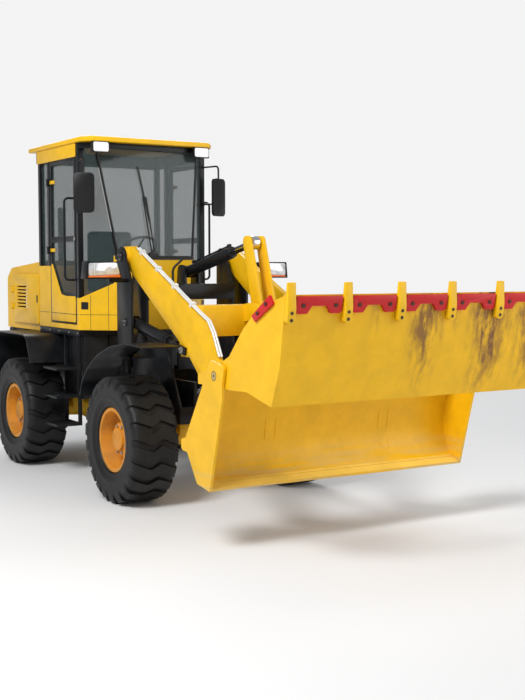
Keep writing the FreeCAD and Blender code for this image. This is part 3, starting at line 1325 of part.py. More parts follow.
def fixed_glass():
    """Windscreen, corner panes, rear quarter panes and rear window."""
    gap = c.seat_gap
    top = c.frame_top_z - gap
    low_top = c.header_low_z - gap
    screen_inset = c.screen_post / 2 + gap
    screen_foot = (forward(c.post_screen_x), c.post_screen_y)
    screen_head = (forward(c.post_screen_top_x), c.post_screen_top_y)
    inset = c.post_size / 2 + gap
    items = [pane("windscreen",
                  ((screen_foot[0], -screen_foot[1], c.cowl_z + gap), (screen_head[0], -screen_head[1], top)),
                  ((screen_foot[0], screen_foot[1], c.cowl_z + gap), (screen_head[0], screen_head[1], top)),
                  screen_inset)]
    run_x = as_size(c.post_screen_top_x - c.post_a_x)
    run_y = as_size(c.post_y - c.post_screen_top_y)
    run = span(run_x, run_y)
    clear = c.post_size / 2 + c.glass_wall / 2
    back_x = clear
    low_front = c.sill_front_x - c.post_a_x - c.glass_wall / 2
    high_front = run_x - c.screen_post / 2 - c.glass_wall
    slant = (c.sill_front_z - c.sill_z) / (c.sill_front_x - c.post_a_x - c.post_size / 2)
    slant_start = c.post_size / 2
    lift = gap + c.glass_wall * slant / 2
    corner_outline = [
        (back_x, c.sill_z + (back_x - slant_start) * slant + lift),
        (low_front, c.sill_z + (low_front - slant_start) * slant + lift),
        (low_front, c.cowl_z + gap), (high_front, top), (back_x, top),
    ]
    for side in (-1, 1):
        outline = [(x * (run / run_x), z) for x, z in corner_outline]
        corner_pane = side_plate("corner_pane", outline, c.glass_wall, 0.0)
        items.append(place(corner_pane, forward(c.post_a_x), c.post_y * side, 0.0,
                           slope(run_x, -run_y) * side, (0, 0, 1)))
        items.append(pane("quarter_pane",
                          ((forward(c.post_b_x), c.post_y * side, c.sill_back_z + gap),
                           (forward(c.post_b_x), c.post_y * side, low_top)),
                          ((forward(c.post_c_x), c.post_y * side, c.sill_back_z + gap),
                           (forward(c.post_c_x), c.post_y * side, low_top)), inset))
    items.append(pane("rear_window",
                      ((forward(c.post_c_x), -c.post_y, c.sill_back_z + gap),
                       (forward(c.post_c_x), -c.post_y, low_top)),
                      ((forward(c.post_c_x), c.post_y, c.sill_back_z + gap),
                       (forward(c.post_c_x), c.post_y, low_top)), inset))
    keep("cab_glass", group("cab_glass", items))


fixed_glass()

DOOR_SIZES = {
    "window_front_x": -1500.0, "window_back_x": -2076.0, "window_low_z": 1745.0,
    "window_high_z": 2985.0, "window_mid_x": -1850.0, "window_back_z": 2045.0, "rail_low_z": 2235.0,
    "rail_high_z": 2290.0, "handle_x": -1480.0, "handle_low_z": 1870.0, "handle_high_z": 2645.0,
    "handle_out": 105.0, "handle_radius": 11.0, "handle_bend": 40.0,
}
c.add(DOOR_SIZES)


def door(name, side):
    """One cab door: a frame with its window cut, hinge knuckles and a grab handle."""
    x0 = door_axis_x + c.knuckle_radius + c.door_gap
    x1 = forward(c.door_front_x) - c.door_gap
    low = c.door_low_z + c.door_gap
    outline = [(x0, low), (x1, low), (x1, c.door_top_z), (x0, c.door_top_z)]
    y = c.post_y + c.post_size / 2 - c.door_wall / 2
    leaf = side_plate(name + "_leaf", outline, c.door_wall, y * side)
    lower = [
        (forward(c.window_back_x), c.window_back_z), (forward(c.window_mid_x), c.window_low_z),
        (forward(c.window_front_x), c.window_low_z), (forward(c.window_front_x), c.rail_low_z),
        (forward(c.window_back_x), c.rail_low_z),
    ]
    upper = [
        (forward(c.window_back_x), c.rail_high_z), (forward(c.window_front_x), c.rail_high_z),
        (forward(c.window_front_x), c.window_high_z), (forward(c.window_back_x), c.window_high_z),
    ]
    tools = []
    panes = []
    gap = c.seat_gap
    for outline_points in (lower, upper):
        tools.append(side_plate("window_cut", outline_points, c.door_wall * 3, y * side))
    small_lower = [
        (forward(c.window_back_x) + gap, c.window_back_z + gap),
        (forward(c.window_mid_x) + gap / 2, c.window_low_z + gap),
        (forward(c.window_front_x) - gap, c.window_low_z + gap),
        (forward(c.window_front_x) - gap, c.rail_low_z - gap),
        (forward(c.window_back_x) + gap, c.rail_low_z - gap),
    ]
    small_upper = [
        (forward(c.window_back_x) + gap, c.rail_high_z + gap),
        (forward(c.window_front_x) - gap, c.rail_high_z + gap),
        (forward(c.window_front_x) - gap, c.window_high_z - gap),
        (forward(c.window_back_x) + gap, c.window_high_z - gap),
    ]
    for outline_points in (small_lower, small_upper):
        panes.append(side_plate("door_pane", outline_points, c.glass_wall, y * side))
    keep("door_glass_" + name, group("door_glass_" + name, panes))
    items = [cut(name + "_cut_leaf", leaf, tools)]
    bores = []
    near = (y - c.door_wall / 2) * side
    far = (door_axis_y + c.knuckle_radius) * side
    y0, y1 = (near, far) if side == 1 else (far, near)
    for z in (c.hinge_high_door_z, c.hinge_low_door_z):
        items.append(bar_z("knuckle", door_axis_x, door_axis_y * side, c.knuckle_radius,
                           z - c.knuckle_half, z + c.knuckle_half))
        arm_near = (door_axis_y - c.knuckle_radius) * side
        a0, a1 = (arm_near, far) if side == 1 else (far, arm_near)
        items.append(box("knuckle_arm", door_axis_x, x0 + c.knuckle_radius, a0, a1, z - c.knuckle_half,
                         z + c.knuckle_half))
        items.append(box("knuckle_foot", x0, x0 + c.knuckle_radius, y0, y1, z - c.knuckle_half,
                         z + c.knuckle_half))
        bores.append(bar_z("knuckle_bore", door_axis_x, door_axis_y * side,
                           c.door_pin_radius + c.pin_gap, z - c.knuckle_half * 2, z + c.knuckle_half * 2))
    face = (c.post_y + c.post_size / 2) * side
    out = (c.post_y + c.post_size / 2 + c.handle_out) * side
    hx = forward(c.handle_x)
    items.append(tube_path(name + "_handle", [
        (hx, face - c.handle_radius * side, c.handle_low_z), (hx, out, c.handle_low_z),
        (hx, out, c.handle_high_z), (hx, face - c.handle_radius * side, c.handle_high_z),
    ], c.handle_radius, c.handle_bend))
    keep("door_" + name, cut("door_" + name, joined(name + "_door_whole", items), bores))


door("left", 1)
door("right", -1)

# Rear body: hood with side doors and grille, counterweight, engine block, fenders
HOOD_SIZES = {
    "hood_front_x": -2470.0, "hood_back_x": -3640.0, "hood_half": 600.0, "hood_low_z": 1330.0,
    "hood_front_z": 2060.0, "hood_back_z": 1985.0, "hood_slope_x": -3500.0, "hood_tail_z": 1880.0,
    "hood_wall": 22.0, "hatch_front_x": -2640.0, "hatch_back_x": -3380.0, "hatch_low_z": 1420.0,
    "hatch_high_z": 1900.0, "hatch_lap": 24.0, "hatch_wall": 20.0, "hatch_gap": 5.0,
    "grille_half": 430.0, "grille_low_z": 1420.0, "grille_high_z": 1850.0, "grille_wall": 34.0,
    "slat_count": 9.0, "slat_wall": 12.0, "weight_back_x": -3750.0, "weight_low_z": 680.0,
    "weight_half": 640.0, "engine_front_x": -2620.0, "engine_back_x": -3330.0, "engine_half": 330.0,
    "engine_high_z": 1720.0, "hatch_knuckle": 11.0, "hatch_pin": 5.5, "hatch_hinge_z": 150.0,
    "stack_x": -2760.0, "stack_y": -300.0, "stack_radius": 42.0, "stack_high": 560.0,
    "tow_low_z": 860.0, "tow_high_z": 950.0, "tow_wall": 25.0, "tow_half": 50.0, "tow_reach": 90.0,
    "tow_bore": 20.0, "weight_back_half": 512.0, "hatch_ear_long": 27.5, "hatch_round": 25.0,
    "louvre_count": 7.0, "louvre_low_z": 1560.0,
    "louvre_pitch": 36.0, "louvre_back_x": -3270.0, "louvre_long": 300.0, "louvre_high": 16.0,
    "tail_round": 60.0, "tail_lamp_in": 350.0, "tail_lamp_out": 490.0, "tail_lamp_low_z": 1180.0,
    "tail_lamp_high_z": 1260.0, "tail_lamp_wall": 22.0,
}
c.add(HOOD_SIZES)
hood_back = forward(c.hood_back_x)


def hood():
    """The engine cover: an open-bottomed shell with side openings and a rear opening."""
    wall = c.hood_wall
    outside = [
        (forward(c.hood_front_x), c.hood_low_z), (forward(c.hood_front_x), c.hood_front_z),
        (forward(c.hood_slope_x), c.hood_back_z), (hood_back, c.hood_tail_z), (hood_back, c.hood_low_z),
    ]
    inside = [
        (forward(c.hood_front_x) - wall, c.hood_low_z - c.cut_over),
        (forward(c.hood_front_x) - wall, c.hood_front_z - wall),
        (forward(c.hood_slope_x), c.hood_back_z - wall), (hood_back + wall, c.hood_tail_z - wall),
        (hood_back + wall, c.hood_low_z - c.cut_over),
    ]
    shell = side_plate("hood_shell", outside, c.hood_half * 2, 0.0,
                       rounds=((outside[2:4], c.tail_round),))
    core = side_plate("hood_core", inside, (c.hood_half - wall) * 2, 0.0)
    items = [
        core,
        box("hatch_hole", forward(c.hatch_back_x), forward(c.hatch_front_x), -c.hood_half * 2,
            c.hood_half * 2, c.hatch_low_z, c.hatch_high_z),
        box("grille_hole", hood_back - wall * 2, hood_back + wall * 2, -c.grille_half, c.grille_half,
            c.grille_low_z, c.grille_high_z),
        bar_z("stack_hole", forward(c.stack_x), c.stack_y, c.stack_radius + c.fit_gap, c.hood_back_z - wall,
              c.hood_front_z + wall),
    ]
    base = cut("hood_cut", shell, items)
    ears = [base]
    axis_x = forward(c.hatch_back_x) - c.hatch_lap
    for side in (-1, 1):
        axis_y = (c.hood_half + c.hatch_gap + c.hatch_wall + c.hatch_knuckle) * side
        for z in (c.hatch_low_z + c.hatch_hinge_z, c.hatch_high_z - c.hatch_hinge_z):
            reach = c.knuckle_half + c.knuckle_gap
            ears.append(bar_z("hatch_pin", axis_x, axis_y, c.hatch_pin, z - reach - c.bracket_wall,
                              z + reach + c.bracket_wall))
            near = (c.hood_half - c.hood_wall / 2) * side
            far = axis_y + c.hatch_knuckle * side
            y0, y1 = (near, far) if side == 1 else (far, near)
            for foot in (z + reach, z - reach - c.bracket_wall):
                ears.append(box("hatch_ear", axis_x - c.hatch_ear_long, axis_x + c.hatch_pin, y0, y1, foot,
                                foot + c.bracket_wall))
    keep("hood", joined("hood", ears))


hood()


def hatch(name, side):
    """One engine side door, lapped over its opening and hung on its rear edge."""
    x0 = forward(c.hatch_back_x) - c.hatch_lap + c.hatch_knuckle + c.hatch_gap
    x1 = forward(c.hatch_front_x) + c.hatch_lap
    outline = [
        (x0, c.hatch_low_z - c.hatch_lap), (x1, c.hatch_low_z - c.hatch_lap),
        (x1, c.hatch_high_z + c.hatch_lap), (x0, c.hatch_high_z + c.hatch_lap),
    ]
    y = c.hood_half + c.hatch_gap + c.hatch_wall / 2
    leaf = side_plate("leaf", outline, c.hatch_wall, y * side, rounds=((outline, c.hatch_round),))
    slots = []
    for index in range(int(c.louvre_count.value)):
        z = c.louvre_low_z + c.louvre_pitch * index
        slots.append(box("louvre", forward(c.louvre_back_x), forward(c.louvre_back_x) + c.louvre_long,
                         -c.hood_half * 2, c.hood_half * 2, z, z + c.louvre_high))
    items = [cut(name + "_leaf_cut", leaf, slots)]
    axis_x = forward(c.hatch_back_x) - c.hatch_lap
    axis_y = (c.hood_half + c.hatch_gap + c.hatch_wall + c.hatch_knuckle) * side
    bores = []
    for z in (c.hatch_low_z + c.hatch_hinge_z, c.hatch_high_z - c.hatch_hinge_z):
        items.append(bar_z("hatch_knuckle", axis_x, axis_y, c.hatch_knuckle, z - c.knuckle_half,
                           z + c.knuckle_half))
        near = (c.hood_half + c.hatch_gap + c.hatch_wall / 2) * side
        far = axis_y + c.hatch_knuckle * side
        mid = axis_y - c.hatch_knuckle / 2 * side
        y0, y1 = (mid, far) if side == 1 else (far, mid)
        items.append(box("hatch_arm", axis_x, x0 + c.hatch_knuckle, y0, y1, z - c.knuckle_half,
                         z + c.knuckle_half))
        y0, y1 = (near, far) if side == 1 else (far, near)
        items.append(box("hatch_foot", x0, x0 + c.hatch_knuckle, y0, y1, z - c.knuckle_half,
                         z + c.knuckle_half))
        bores.append(bar_z("hatch_bore", axis_x, axis_y, c.hatch_pin + c.pin_gap, z - c.knuckle_half * 2,
                           z + c.knuckle_half * 2))
    keep("engine_door_" + name, cut("engine_door_" + name, joined(name + "_hatch_whole", items), bores))


hatch("left", 1)
hatch("right", -1)


def rear_grille():
    """The radiator grille: a frame with level slats."""
    gap = c.seat_gap
    half = c.grille_half - gap
    low = c.grille_low_z + gap
    high = c.grille_high_z - gap
    x0 = hood_back
    x1 = hood_back + c.hood_wall
    rim = c.grille_wall
    outer = box("grille_outer", x0, x1, -half, half, low, high)
    inner = box("grille_inner", x0 - rim, x1 + rim, -half + rim, half - rim, low + rim, high - rim)
    items = [cut("grille_rim", outer, [inner])]
    pitch = (high - low - rim * 2) / (c.slat_count + 1)
    for index in range(int(c.slat_count.value)):
        z = low + rim + pitch * (index + 1)
        items.append(box("slat", x0 + c.hatch_gap, x1 - c.hatch_gap, -half + rim / 2, half - rim / 2,
                         z - c.slat_wall / 2, z + c.slat_wall / 2))
    keep("rear_grille", joined("rear_grille", items))


rear_grille()


def counterweight():
    """The cast block behind the rear frame."""
    body = new_body("counterweight")
    outline = [
        (tail_x, -c.weight_half), (tail_x, c.weight_half), (forward(c.weight_back_x), c.weight_back_half),
        (forward(c.weight_back_x), -c.weight_back_half),
    ]
    pad(body, sketch(body, "XY_Plane", outline, lift=c.weight_low_z), c.hood_low_z - c.weight_low_z, False)
    round_corners(body, "XY_Plane", outline[2:], c.tail_round)
    back = forward(c.weight_back_x)
    items = [body]
    for z in (c.tow_low_z, c.tow_high_z):
        ear = [(back + c.tow_wall, -c.tow_half), (back - c.tow_reach, -c.tow_half),
               (back - c.tow_reach, c.tow_half), (back + c.tow_wall, c.tow_half)]
        items.append(level_plate("tow_ear", ear, c.tow_wall, z,
                                 circles=((back - c.tow_half, 0.0, c.tow_bore),),
                                 rounds=((ear[1:3], c.tow_half * c.round_share),)))
    keep("counterweight", joined("counterweight", items))


counterweight()


def tail_lamps():
    """A red lamp on each side of the counterweight's back face."""
    items = []
    high = forward(c.weight_back_x) - c.seat_gap
    for side in (-1, 1):
        y0, y1 = (c.tail_lamp_in, c.tail_lamp_out) if side == 1 else (-c.tail_lamp_out, -c.tail_lamp_in)
        items.append(box("tail_lamp", high - c.tail_lamp_wall, high, y0, y1, c.tail_lamp_low_z,
                         c.tail_lamp_high_z))
    keep("tail_lamps", group("tail_lamps", items))


tail_lamps()
keep("engine_block", box("engine_block", forward(c.engine_back_x), forward(c.engine_front_x),
                         -c.engine_half, c.engine_half, c.rail_top_z, c.engine_high_z))

FENDER_SIZES = {
    "fender_wall": 10.0, "fender_in": 560.0, "fender_out": 1015.0, "fender_top_z": 1330.0,
    "rear_fender_back_x": -3090.0, "rear_fender_back_z": 850.0, "rear_fender_crown_x": -2960.0,
    "rear_fender_front_x": -1960.0, "rear_fender_low_x": -1830.0, "rear_fender_low_z": 1060.0,
    "step_x0": -1790.0, "step_x1": -1440.0, "step_in": 640.0, "step_out": 900.0, "step_low_z": 470.0,
    "step_wall": 12.0, "step_rise": 270.0, "step_count": 3.0, "fender_round": 150.0,
    "tank_back_x": -1815.0, "tank_front_x": -1400.0, "tank_in": 380.0, "tank_out": 630.0,
    "tank_low_z": 720.0, "battery_back_x": -3470.0, "battery_front_x": -3110.0, "battery_in": 340.0,
    "battery_out": 600.0, "battery_low_z": 780.0, "box_round": 60.0,
}
c.add(FENDER_SIZES)


def offset_line(points, wall):
    """A line of points in X and Z moved sideways by the thickness of its plate."""
    moved = []
    last = len(points) - 1
    for index, (x, z) in enumerate(points):
        before = points[max(index - 1, 0)]
        after = points[min(index + 1, last)]
        dx = after[0] - before[0]
        dz = after[1] - before[1]
        reach = span(dx, dz)
        moved.append((x + wall * (dz / reach), z - wall * (dx / reach)))
    return moved


def side_boxes(name, x0, x1, y_in, y_out, low, high):
    """A closed box with rounded corners on each side of the loader."""
    items = []
    outline = [(forward(x0), low), (forward(x1), low), (forward(x1), high), (forward(x0), high)]
    for side in (-1, 1):
        items.append(side_plate(name, outline, y_out - y_in, (y_in + y_out) / 2 * side,
                                rounds=((outline[:2], c.box_round),)))
    return keep(name, group(name, items))


def rear_fenders():
    """A mudguard over each rear wheel."""
    items = []
    for side in (-1, 1):
        y0, y1 = (c.fender_in, c.fender_out) if side == 1 else (-c.fender_out, -c.fender_in)
        wall = c.fender_wall
        outer = [
            (forward(c.rear_fender_back_x), c.rear_fender_back_z),
            (forward(c.rear_fender_crown_x), c.fender_top_z),
            (forward(c.rear_fender_front_x), c.fender_top_z),
            (forward(c.rear_fender_low_x), c.rear_fender_low_z),
        ]
        inner = offset_line(outer, wall)
        items.append(side_plate("rear_fender", outer + inner[::-1], y1 - y0, (as_size(y0) + y1) / 2,
                                rounds=((outer[1:3], c.fender_round), (inner[1:3], c.fender_round - wall))))
    keep("rear_fenders", group("rear_fenders", items))


rear_fenders()
side_boxes("side_tanks", c.tank_back_x, c.tank_front_x, c.tank_in, c.tank_out, c.tank_low_z,
           c.platform_low_z - c.seat_gap)
side_boxes("battery_boxes", c.battery_back_x, c.battery_front_x, c.battery_in, c.battery_out,
           c.battery_low_z, c.hood_low_z - c.seat_gap)


def steps():
    """A hanging ladder below each cab door."""
    items = []
    for side in (-1, 1):
        y0, y1 = (c.step_in, c.step_out) if side == 1 else (-c.step_out, -c.step_in)
        parts = []
        for x in (c.step_x0, c.step_x1 - c.step_wall):
            cheek_in, cheek_out = (c.step_in, c.cab_half) if side == 1 else (-c.cab_half, -c.step_in)
            parts.append(box("hanger", forward(x), forward(x) + c.step_wall, cheek_in, cheek_out,
                             c.step_low_z, c.platform_low_z))
        for index in range(int(c.step_count.value)):
            z = c.step_low_z + c.step_rise * index
            parts.append(box("tread", forward(c.step_x0), forward(c.step_x1), y0, y1, z,
                             z + c.step_wall * 2))
        items.append(joined("step_whole", parts))
    keep("steps", group("steps", items))


steps()

# Front fenders, headlamps, work lamps, mirrors and the fittings of the cab
FRONT_FITTINGS_SIZES = {
    "front_fender_in": 612.0, "front_fender_out": 950.0, "front_fender_back_x": -760.0,
    "front_fender_back_z": 845.0, "front_fender_heel_x": -710.0, "front_fender_heel_z": 975.0,
    "front_fender_calf_x": -585.0, "front_fender_calf_z": 1100.0, "front_fender_rise_x": -400.0,
    "front_fender_rise_z": 1220.0, "front_fender_crown_x": -110.0, "front_fender_crown_z": 1320.0,
    "front_fender_top_x": 240.0, "front_fender_top_z": 1367.0, "front_fender_nose_x": 540.0,
    "front_fender_nose_z": 1347.0, "fender_bend": 220.0, "fender_bracket_wall": 30.0,
    "fender_bracket_long": 110.0, "bracket_sink": 9.0, "fender_bracket_low_z": 1060.0,
    "lamp_x0": -500.0, "lamp_x1": -390.0, "lamp_in": 690.0, "lamp_out": 1035.0, "lamp_low_z": 1890.0,
    "lamp_high_z": 2040.0, "lamp_arm": 34.0, "lamp_slope": 45.0, "lamp_outer_slope": 13.5,
    "work_in": 450.0, "work_out": 618.0,
    "work_low_z": 3062.0, "work_deep": 54.0, "mirror_x": -1165.0, "mirror_y": 715.0,
    "mirror_half": 97.0, "mirror_low_z": 2495.0, "mirror_high_z": 2865.0, "mirror_wall": 28.0,
    "mirror_round": 42.0, "mirror_turn": 65.0, "mirror_tube": 9.0, "mirror_bend": 40.0,
    "mirror_arm_high_z": 2990.0, "mirror_arm_low_z": 2620.0, "mirror_root_y": 668.0,
    "mirror_root_gap": 2.2,
}
c.add(FRONT_FITTINGS_SIZES)


def front_fenders():
    """A curved mudguard over each front wheel, bolted to the outer tower plate."""
    wall = c.fender_wall
    items = []
    for side in (-1, 1):
        y0, y1 = (c.front_fender_in, c.front_fender_out)
        if side == -1:
            y0, y1 = -y1, -y0
        outer = [(forward(x), z) for x, z in (
            (c.front_fender_back_x, c.front_fender_back_z),
            (c.front_fender_heel_x, c.front_fender_heel_z),
            (c.front_fender_calf_x, c.front_fender_calf_z),
            (c.front_fender_rise_x, c.front_fender_rise_z),
            (c.front_fender_crown_x, c.front_fender_crown_z),
            (c.front_fender_top_x, c.front_fender_top_z),
            (c.front_fender_nose_x, c.front_fender_nose_z),
        )]
        inner = offset_line(outer, wall)
        shell = side_plate("front_fender", outer + inner[::-1], y1 - y0, (as_size(y0) + y1) / 2, rounds=(
            (outer[1:3], c.fender_bend), (inner[1:3], c.fender_bend - wall),
            (outer[3:6], c.fender_bend * 3), (inner[3:6], c.fender_bend * 3 - wall)))
        face = tower_out + c.tower_wall / 2
        far = c.front_fender_in + c.fender_bracket_wall
        run = c.front_fender_rise_x - c.front_fender_calf_x
        fall = (c.front_fender_rise_z - c.front_fender_calf_z) / run * c.fender_bracket_long
        top = c.front_fender_rise_z - c.bracket_sink
        bracket = side_plate("fender_bracket", [
            (forward(c.front_fender_rise_x) - c.fender_bracket_long, c.fender_bracket_low_z),
            (forward(c.front_fender_rise_x), c.fender_bracket_low_z),
            (forward(c.front_fender_rise_x), top),
            (forward(c.front_fender_rise_x) - c.fender_bracket_long, top - fall),
        ], far - face, (face + far) / 2 * side)
        items.append(joined("front_fender_whole", [shell, bracket]))
    keep("front_fenders", group("front_fenders", items))


front_fenders()


def headlamps():
    """A trapezoid lamp box on an arm from each tower."""
    items = []
    for side in (-1, 1):
        y_in = c.lamp_in * side
        y_out = c.lamp_out * side
        body = new_body("lamp_box")
        outline = [
            (y_in, c.lamp_low_z), (y_out, c.lamp_low_z), (y_out - c.lamp_outer_slope * side, c.lamp_high_z),
            (y_in + c.lamp_slope * side, c.lamp_high_z),
        ]
        pad(body, sketch(body, "YZ_Plane", outline), c.lamp_x1 - c.lamp_x0)
        place(body, forward(c.lamp_x0) + (c.lamp_x1 - c.lamp_x0) / 2, 0, 0)
        face = (tower_out + c.tower_wall / 2) * side
        arm_end = y_in + c.lamp_slope * 2 * side
        y0, y1 = (face, arm_end) if side == 1 else (arm_end, face)
        arm = box("lamp_arm", forward(c.lamp_x0), forward(c.lamp_x0) + c.lamp_arm, y0, y1,
                  c.lamp_low_z - c.lamp_arm, c.lamp_low_z)
        items.append(joined("headlamp", [body, arm]))
    keep("headlamps", group("headlamps", items))


headlamps()


def work_lamps():
    """Two lamps under the roof's front lip and two under its rear lip."""
    items = []
    high = ring_top - c.seat_gap
    for side in (-1, 1):
        y0, y1 = (c.work_in, c.work_out) if side == 1 else (-c.work_out, -c.work_in)
        for x in (forward(c.roof_front_x) - c.work_deep, forward(c.roof_back_x)):
            items.append(box("work_lamp", x, x + c.work_deep, y0, y1, c.work_low_z, high))
    keep("work_lamps", group("work_lamps", items))


work_lamps()


def mirrors():
    """A mirror on a bent tube from each front door post, turned towards the driver."""
    items = []
    root_x = forward(c.post_a_x) + c.post_size / 2 + c.mirror_root_gap
    tip_x = forward(c.mirror_x)
    outline = [
        (-c.mirror_half, c.mirror_low_z), (c.mirror_half, c.mirror_low_z),
        (c.mirror_half, c.mirror_high_z), (-c.mirror_half, c.mirror_high_z),
    ]
    for side in (-1, 1):
        plate = side_plate("mirror_plate", outline, c.mirror_wall, 0.0, rounds=((outline, c.mirror_round),))
        place(plate, tip_x, c.mirror_y * side, 0.0, c.mirror_turn * -side, (0, 0, 1))
        arm = tube_path("mirror_arm", [
            (root_x, c.mirror_root_y * side, c.mirror_arm_high_z),
            (tip_x, c.mirror_y * side, c.mirror_arm_high_z),
            (tip_x, c.mirror_y * side, c.mirror_arm_low_z),
            (root_x, c.mirror_root_y * side, c.mirror_arm_low_z),
        ], c.mirror_tube, c.mirror_bend)
        items.append(joined("mirror", [plate, arm]))
    keep("mirrors", group("mirrors", items))


mirrors()

INTERIOR_SIZES = {
    "seat_x": -1960.0, "seat_half": 240.0, "seat_long": 480.0, "seat_base_high": 300.0,
    "seat_cushion": 130.0, "seat_back_high": 620.0, "seat_back_wall": 120.0, "console_x": -1250.0,
    "console_half": 160.0, "console_long": 170.0, "console_high": 520.0, "column_radius": 28.0,
    "wheel_radius": 205.0, "wheel_ring": 14.0, "column_long": 330.0, "column_angle": 55.0,
    "spoke_radius": 11.0,
}
c.add(INTERIOR_SIZES)
floor_z = platform_top + c.cab_floor


def interior():
    """The driver's seat, the console and the steering wheel."""
    x0 = forward(c.seat_x) - c.seat_long / 2
    x1 = forward(c.seat_x) + c.seat_long / 2
    base = box("seat_base", x0 + c.seat_cushion / 2, x1 - c.seat_cushion, -c.seat_half / 2,
               c.seat_half / 2, floor_z, floor_z + c.seat_base_high)
    cushion = box("seat_cushion", x0, x1, -c.seat_half, c.seat_half, floor_z + c.seat_base_high,
                  floor_z + c.seat_base_high + c.seat_cushion)
    back = box("seat_back", x0 - c.seat_back_wall / 2, x0 + c.seat_back_wall / 2, -c.seat_half,
               c.seat_half, floor_z + c.seat_base_high, floor_z + c.seat_base_high + c.seat_back_high)
    keep("driver_seat", joined("driver_seat", [base, cushion, back]))
    cx = forward(c.console_x)
    box_item = box("console_box", cx - c.console_long, cx, -c.console_half, c.console_half, floor_z,
                   floor_z + c.console_high)
    angle = 180.0 - c.column_angle
    root_z = floor_z + c.console_high - c.column_radius * 2
    column = bar_along("column", cx - c.console_long / 2, 0.0, root_z, angle, 0.0, c.column_long,
                       c.column_radius)
    ring = doc.addObject("Part::Torus", "wheel_ring")
    bind(ring, "Radius1", c.wheel_radius - c.wheel_ring)
    bind(ring, "Radius2", c.wheel_ring)
    place(ring, cx - c.console_long / 2 + cosine(angle) * c.column_long, 0.0,
          root_z + sine(angle) * c.column_long, 90.0 - angle, (0, 1, 0))
    spoke = bar_along("spoke", cx - c.console_long / 2 + cosine(angle) * c.column_long, 0.0,
                      root_z + sine(angle) * c.column_long, angle - 90.0, -c.wheel_radius + c.wheel_ring,
                      c.wheel_radius - c.wheel_ring, c.spoke_radius)
    keep("steering_console", joined("steering_console", [box_item, column, ring, spoke]))


interior()


def exhaust():
    """The exhaust stack on the hood."""
    top = c.hood_front_z + c.stack_high
    keep("exhaust_stack", bar_z("exhaust_stack", forward(c.stack_x), c.stack_y, c.stack_radius,
                                c.hood_back_z, top))


exhaust()


def finish():
    """Checks every object and writes one file for each piece."""
    doc.recompute()
    for item in doc.Objects:
        if "Invalid" in item.State or "Error" in item.State:
            raise RuntimeError("%s is %s" % (item.Name, item.State))
    os.makedirs("parts", exist_ok=True)
    for name, item in pieces.items():
        shape = item.Shape
        if shape.isNull() or not shape.isValid():
            raise RuntimeError("%s has no valid shape" % name)
        shape.exportStep(os.path.join("parts", name + ".step"))


finish()
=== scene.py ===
import json
import logging
import math
from dataclasses import dataclass, field
from enum import Enum
from functools import cache
from typing import Iterable, Sequence

import bmesh
import bpy
from mathutils import Matrix, Vector

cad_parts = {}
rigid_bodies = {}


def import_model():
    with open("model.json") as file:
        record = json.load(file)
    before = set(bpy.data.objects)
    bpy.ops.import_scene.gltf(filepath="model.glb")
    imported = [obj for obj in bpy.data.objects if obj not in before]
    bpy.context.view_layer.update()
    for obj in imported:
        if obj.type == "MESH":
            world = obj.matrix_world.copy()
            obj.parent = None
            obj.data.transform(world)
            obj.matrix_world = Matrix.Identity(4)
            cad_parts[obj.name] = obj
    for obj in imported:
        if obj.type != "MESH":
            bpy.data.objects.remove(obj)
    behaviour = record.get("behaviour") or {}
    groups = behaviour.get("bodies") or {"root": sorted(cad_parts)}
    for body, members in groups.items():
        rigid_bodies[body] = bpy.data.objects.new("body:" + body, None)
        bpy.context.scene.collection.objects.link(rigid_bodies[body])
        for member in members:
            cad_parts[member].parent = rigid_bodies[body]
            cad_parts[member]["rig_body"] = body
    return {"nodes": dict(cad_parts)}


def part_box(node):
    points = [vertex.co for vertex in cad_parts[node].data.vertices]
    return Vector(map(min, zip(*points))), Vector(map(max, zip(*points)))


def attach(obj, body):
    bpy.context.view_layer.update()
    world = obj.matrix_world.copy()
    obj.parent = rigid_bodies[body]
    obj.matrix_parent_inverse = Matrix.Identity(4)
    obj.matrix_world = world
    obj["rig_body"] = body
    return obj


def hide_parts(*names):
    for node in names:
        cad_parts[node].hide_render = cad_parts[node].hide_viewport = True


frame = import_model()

LOG = logging.getLogger("loader")

Point = tuple[float, float, float]
Colour = tuple[float, float, float]
Flat = tuple[float, float]
BMesh = bmesh.types.BMesh
Piece = bpy.types.Object
Socket = bpy.types.NodeSocket

SMOOTH = 35.0  # degrees: edges sharper than this are shaded sharp
SHARP = 40.0  # degrees: edges sharper than this are broken
EDGE_STEPS = 2  # faces across a broken edge
MERGE = 1e-5  # metres: closer points of a new mesh are one
CAD_MERGE = 2e-5  # metres: the same on a CAD node's mesh
FLAT_EDGE = 0.6  # degrees: flatter edges of a CAD node are dissolved
SINK = 0.6  # millimetres that a plate reaches into what carries it


class Side(Enum):
    """The two sides of the loader."""

    LEFT = 1
    RIGHT = -1

    @property
    def word(self) -> str:
        """The side's word in node names."""
        return self.name.lower()


class Axis(Enum):
    """The ways of the row frame."""

    X = (1.0, 0.0, 0.0)
    Y = (0.0, 1.0, 0.0)
    Z = (0.0, 0.0, 1.0)

    @property
    def way(self) -> Vector:
        """The axis as a vector."""
        return Vector(self.value)


def centre(node: str) -> Vector:
    """Gives the middle of a CAD node.

    Args:
        node: The node's name.

    Returns:
        The middle of its box in metres.
    """
    low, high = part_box(node)
    return (low + high) / 2


AXLE_X = centre("rim_front_left").x


def spot(x: float, y: float, z: float) -> Vector:
    """Turns millimetres measured from the front axle into the row frame.

    Args:
        x: Forward of the front axle.
        y: To the loader's left.
        z: Above the ground.

    Returns:
        The place in metres.
    """
    return Vector((AXLE_X + x / 1000, y / 1000, z / 1000))


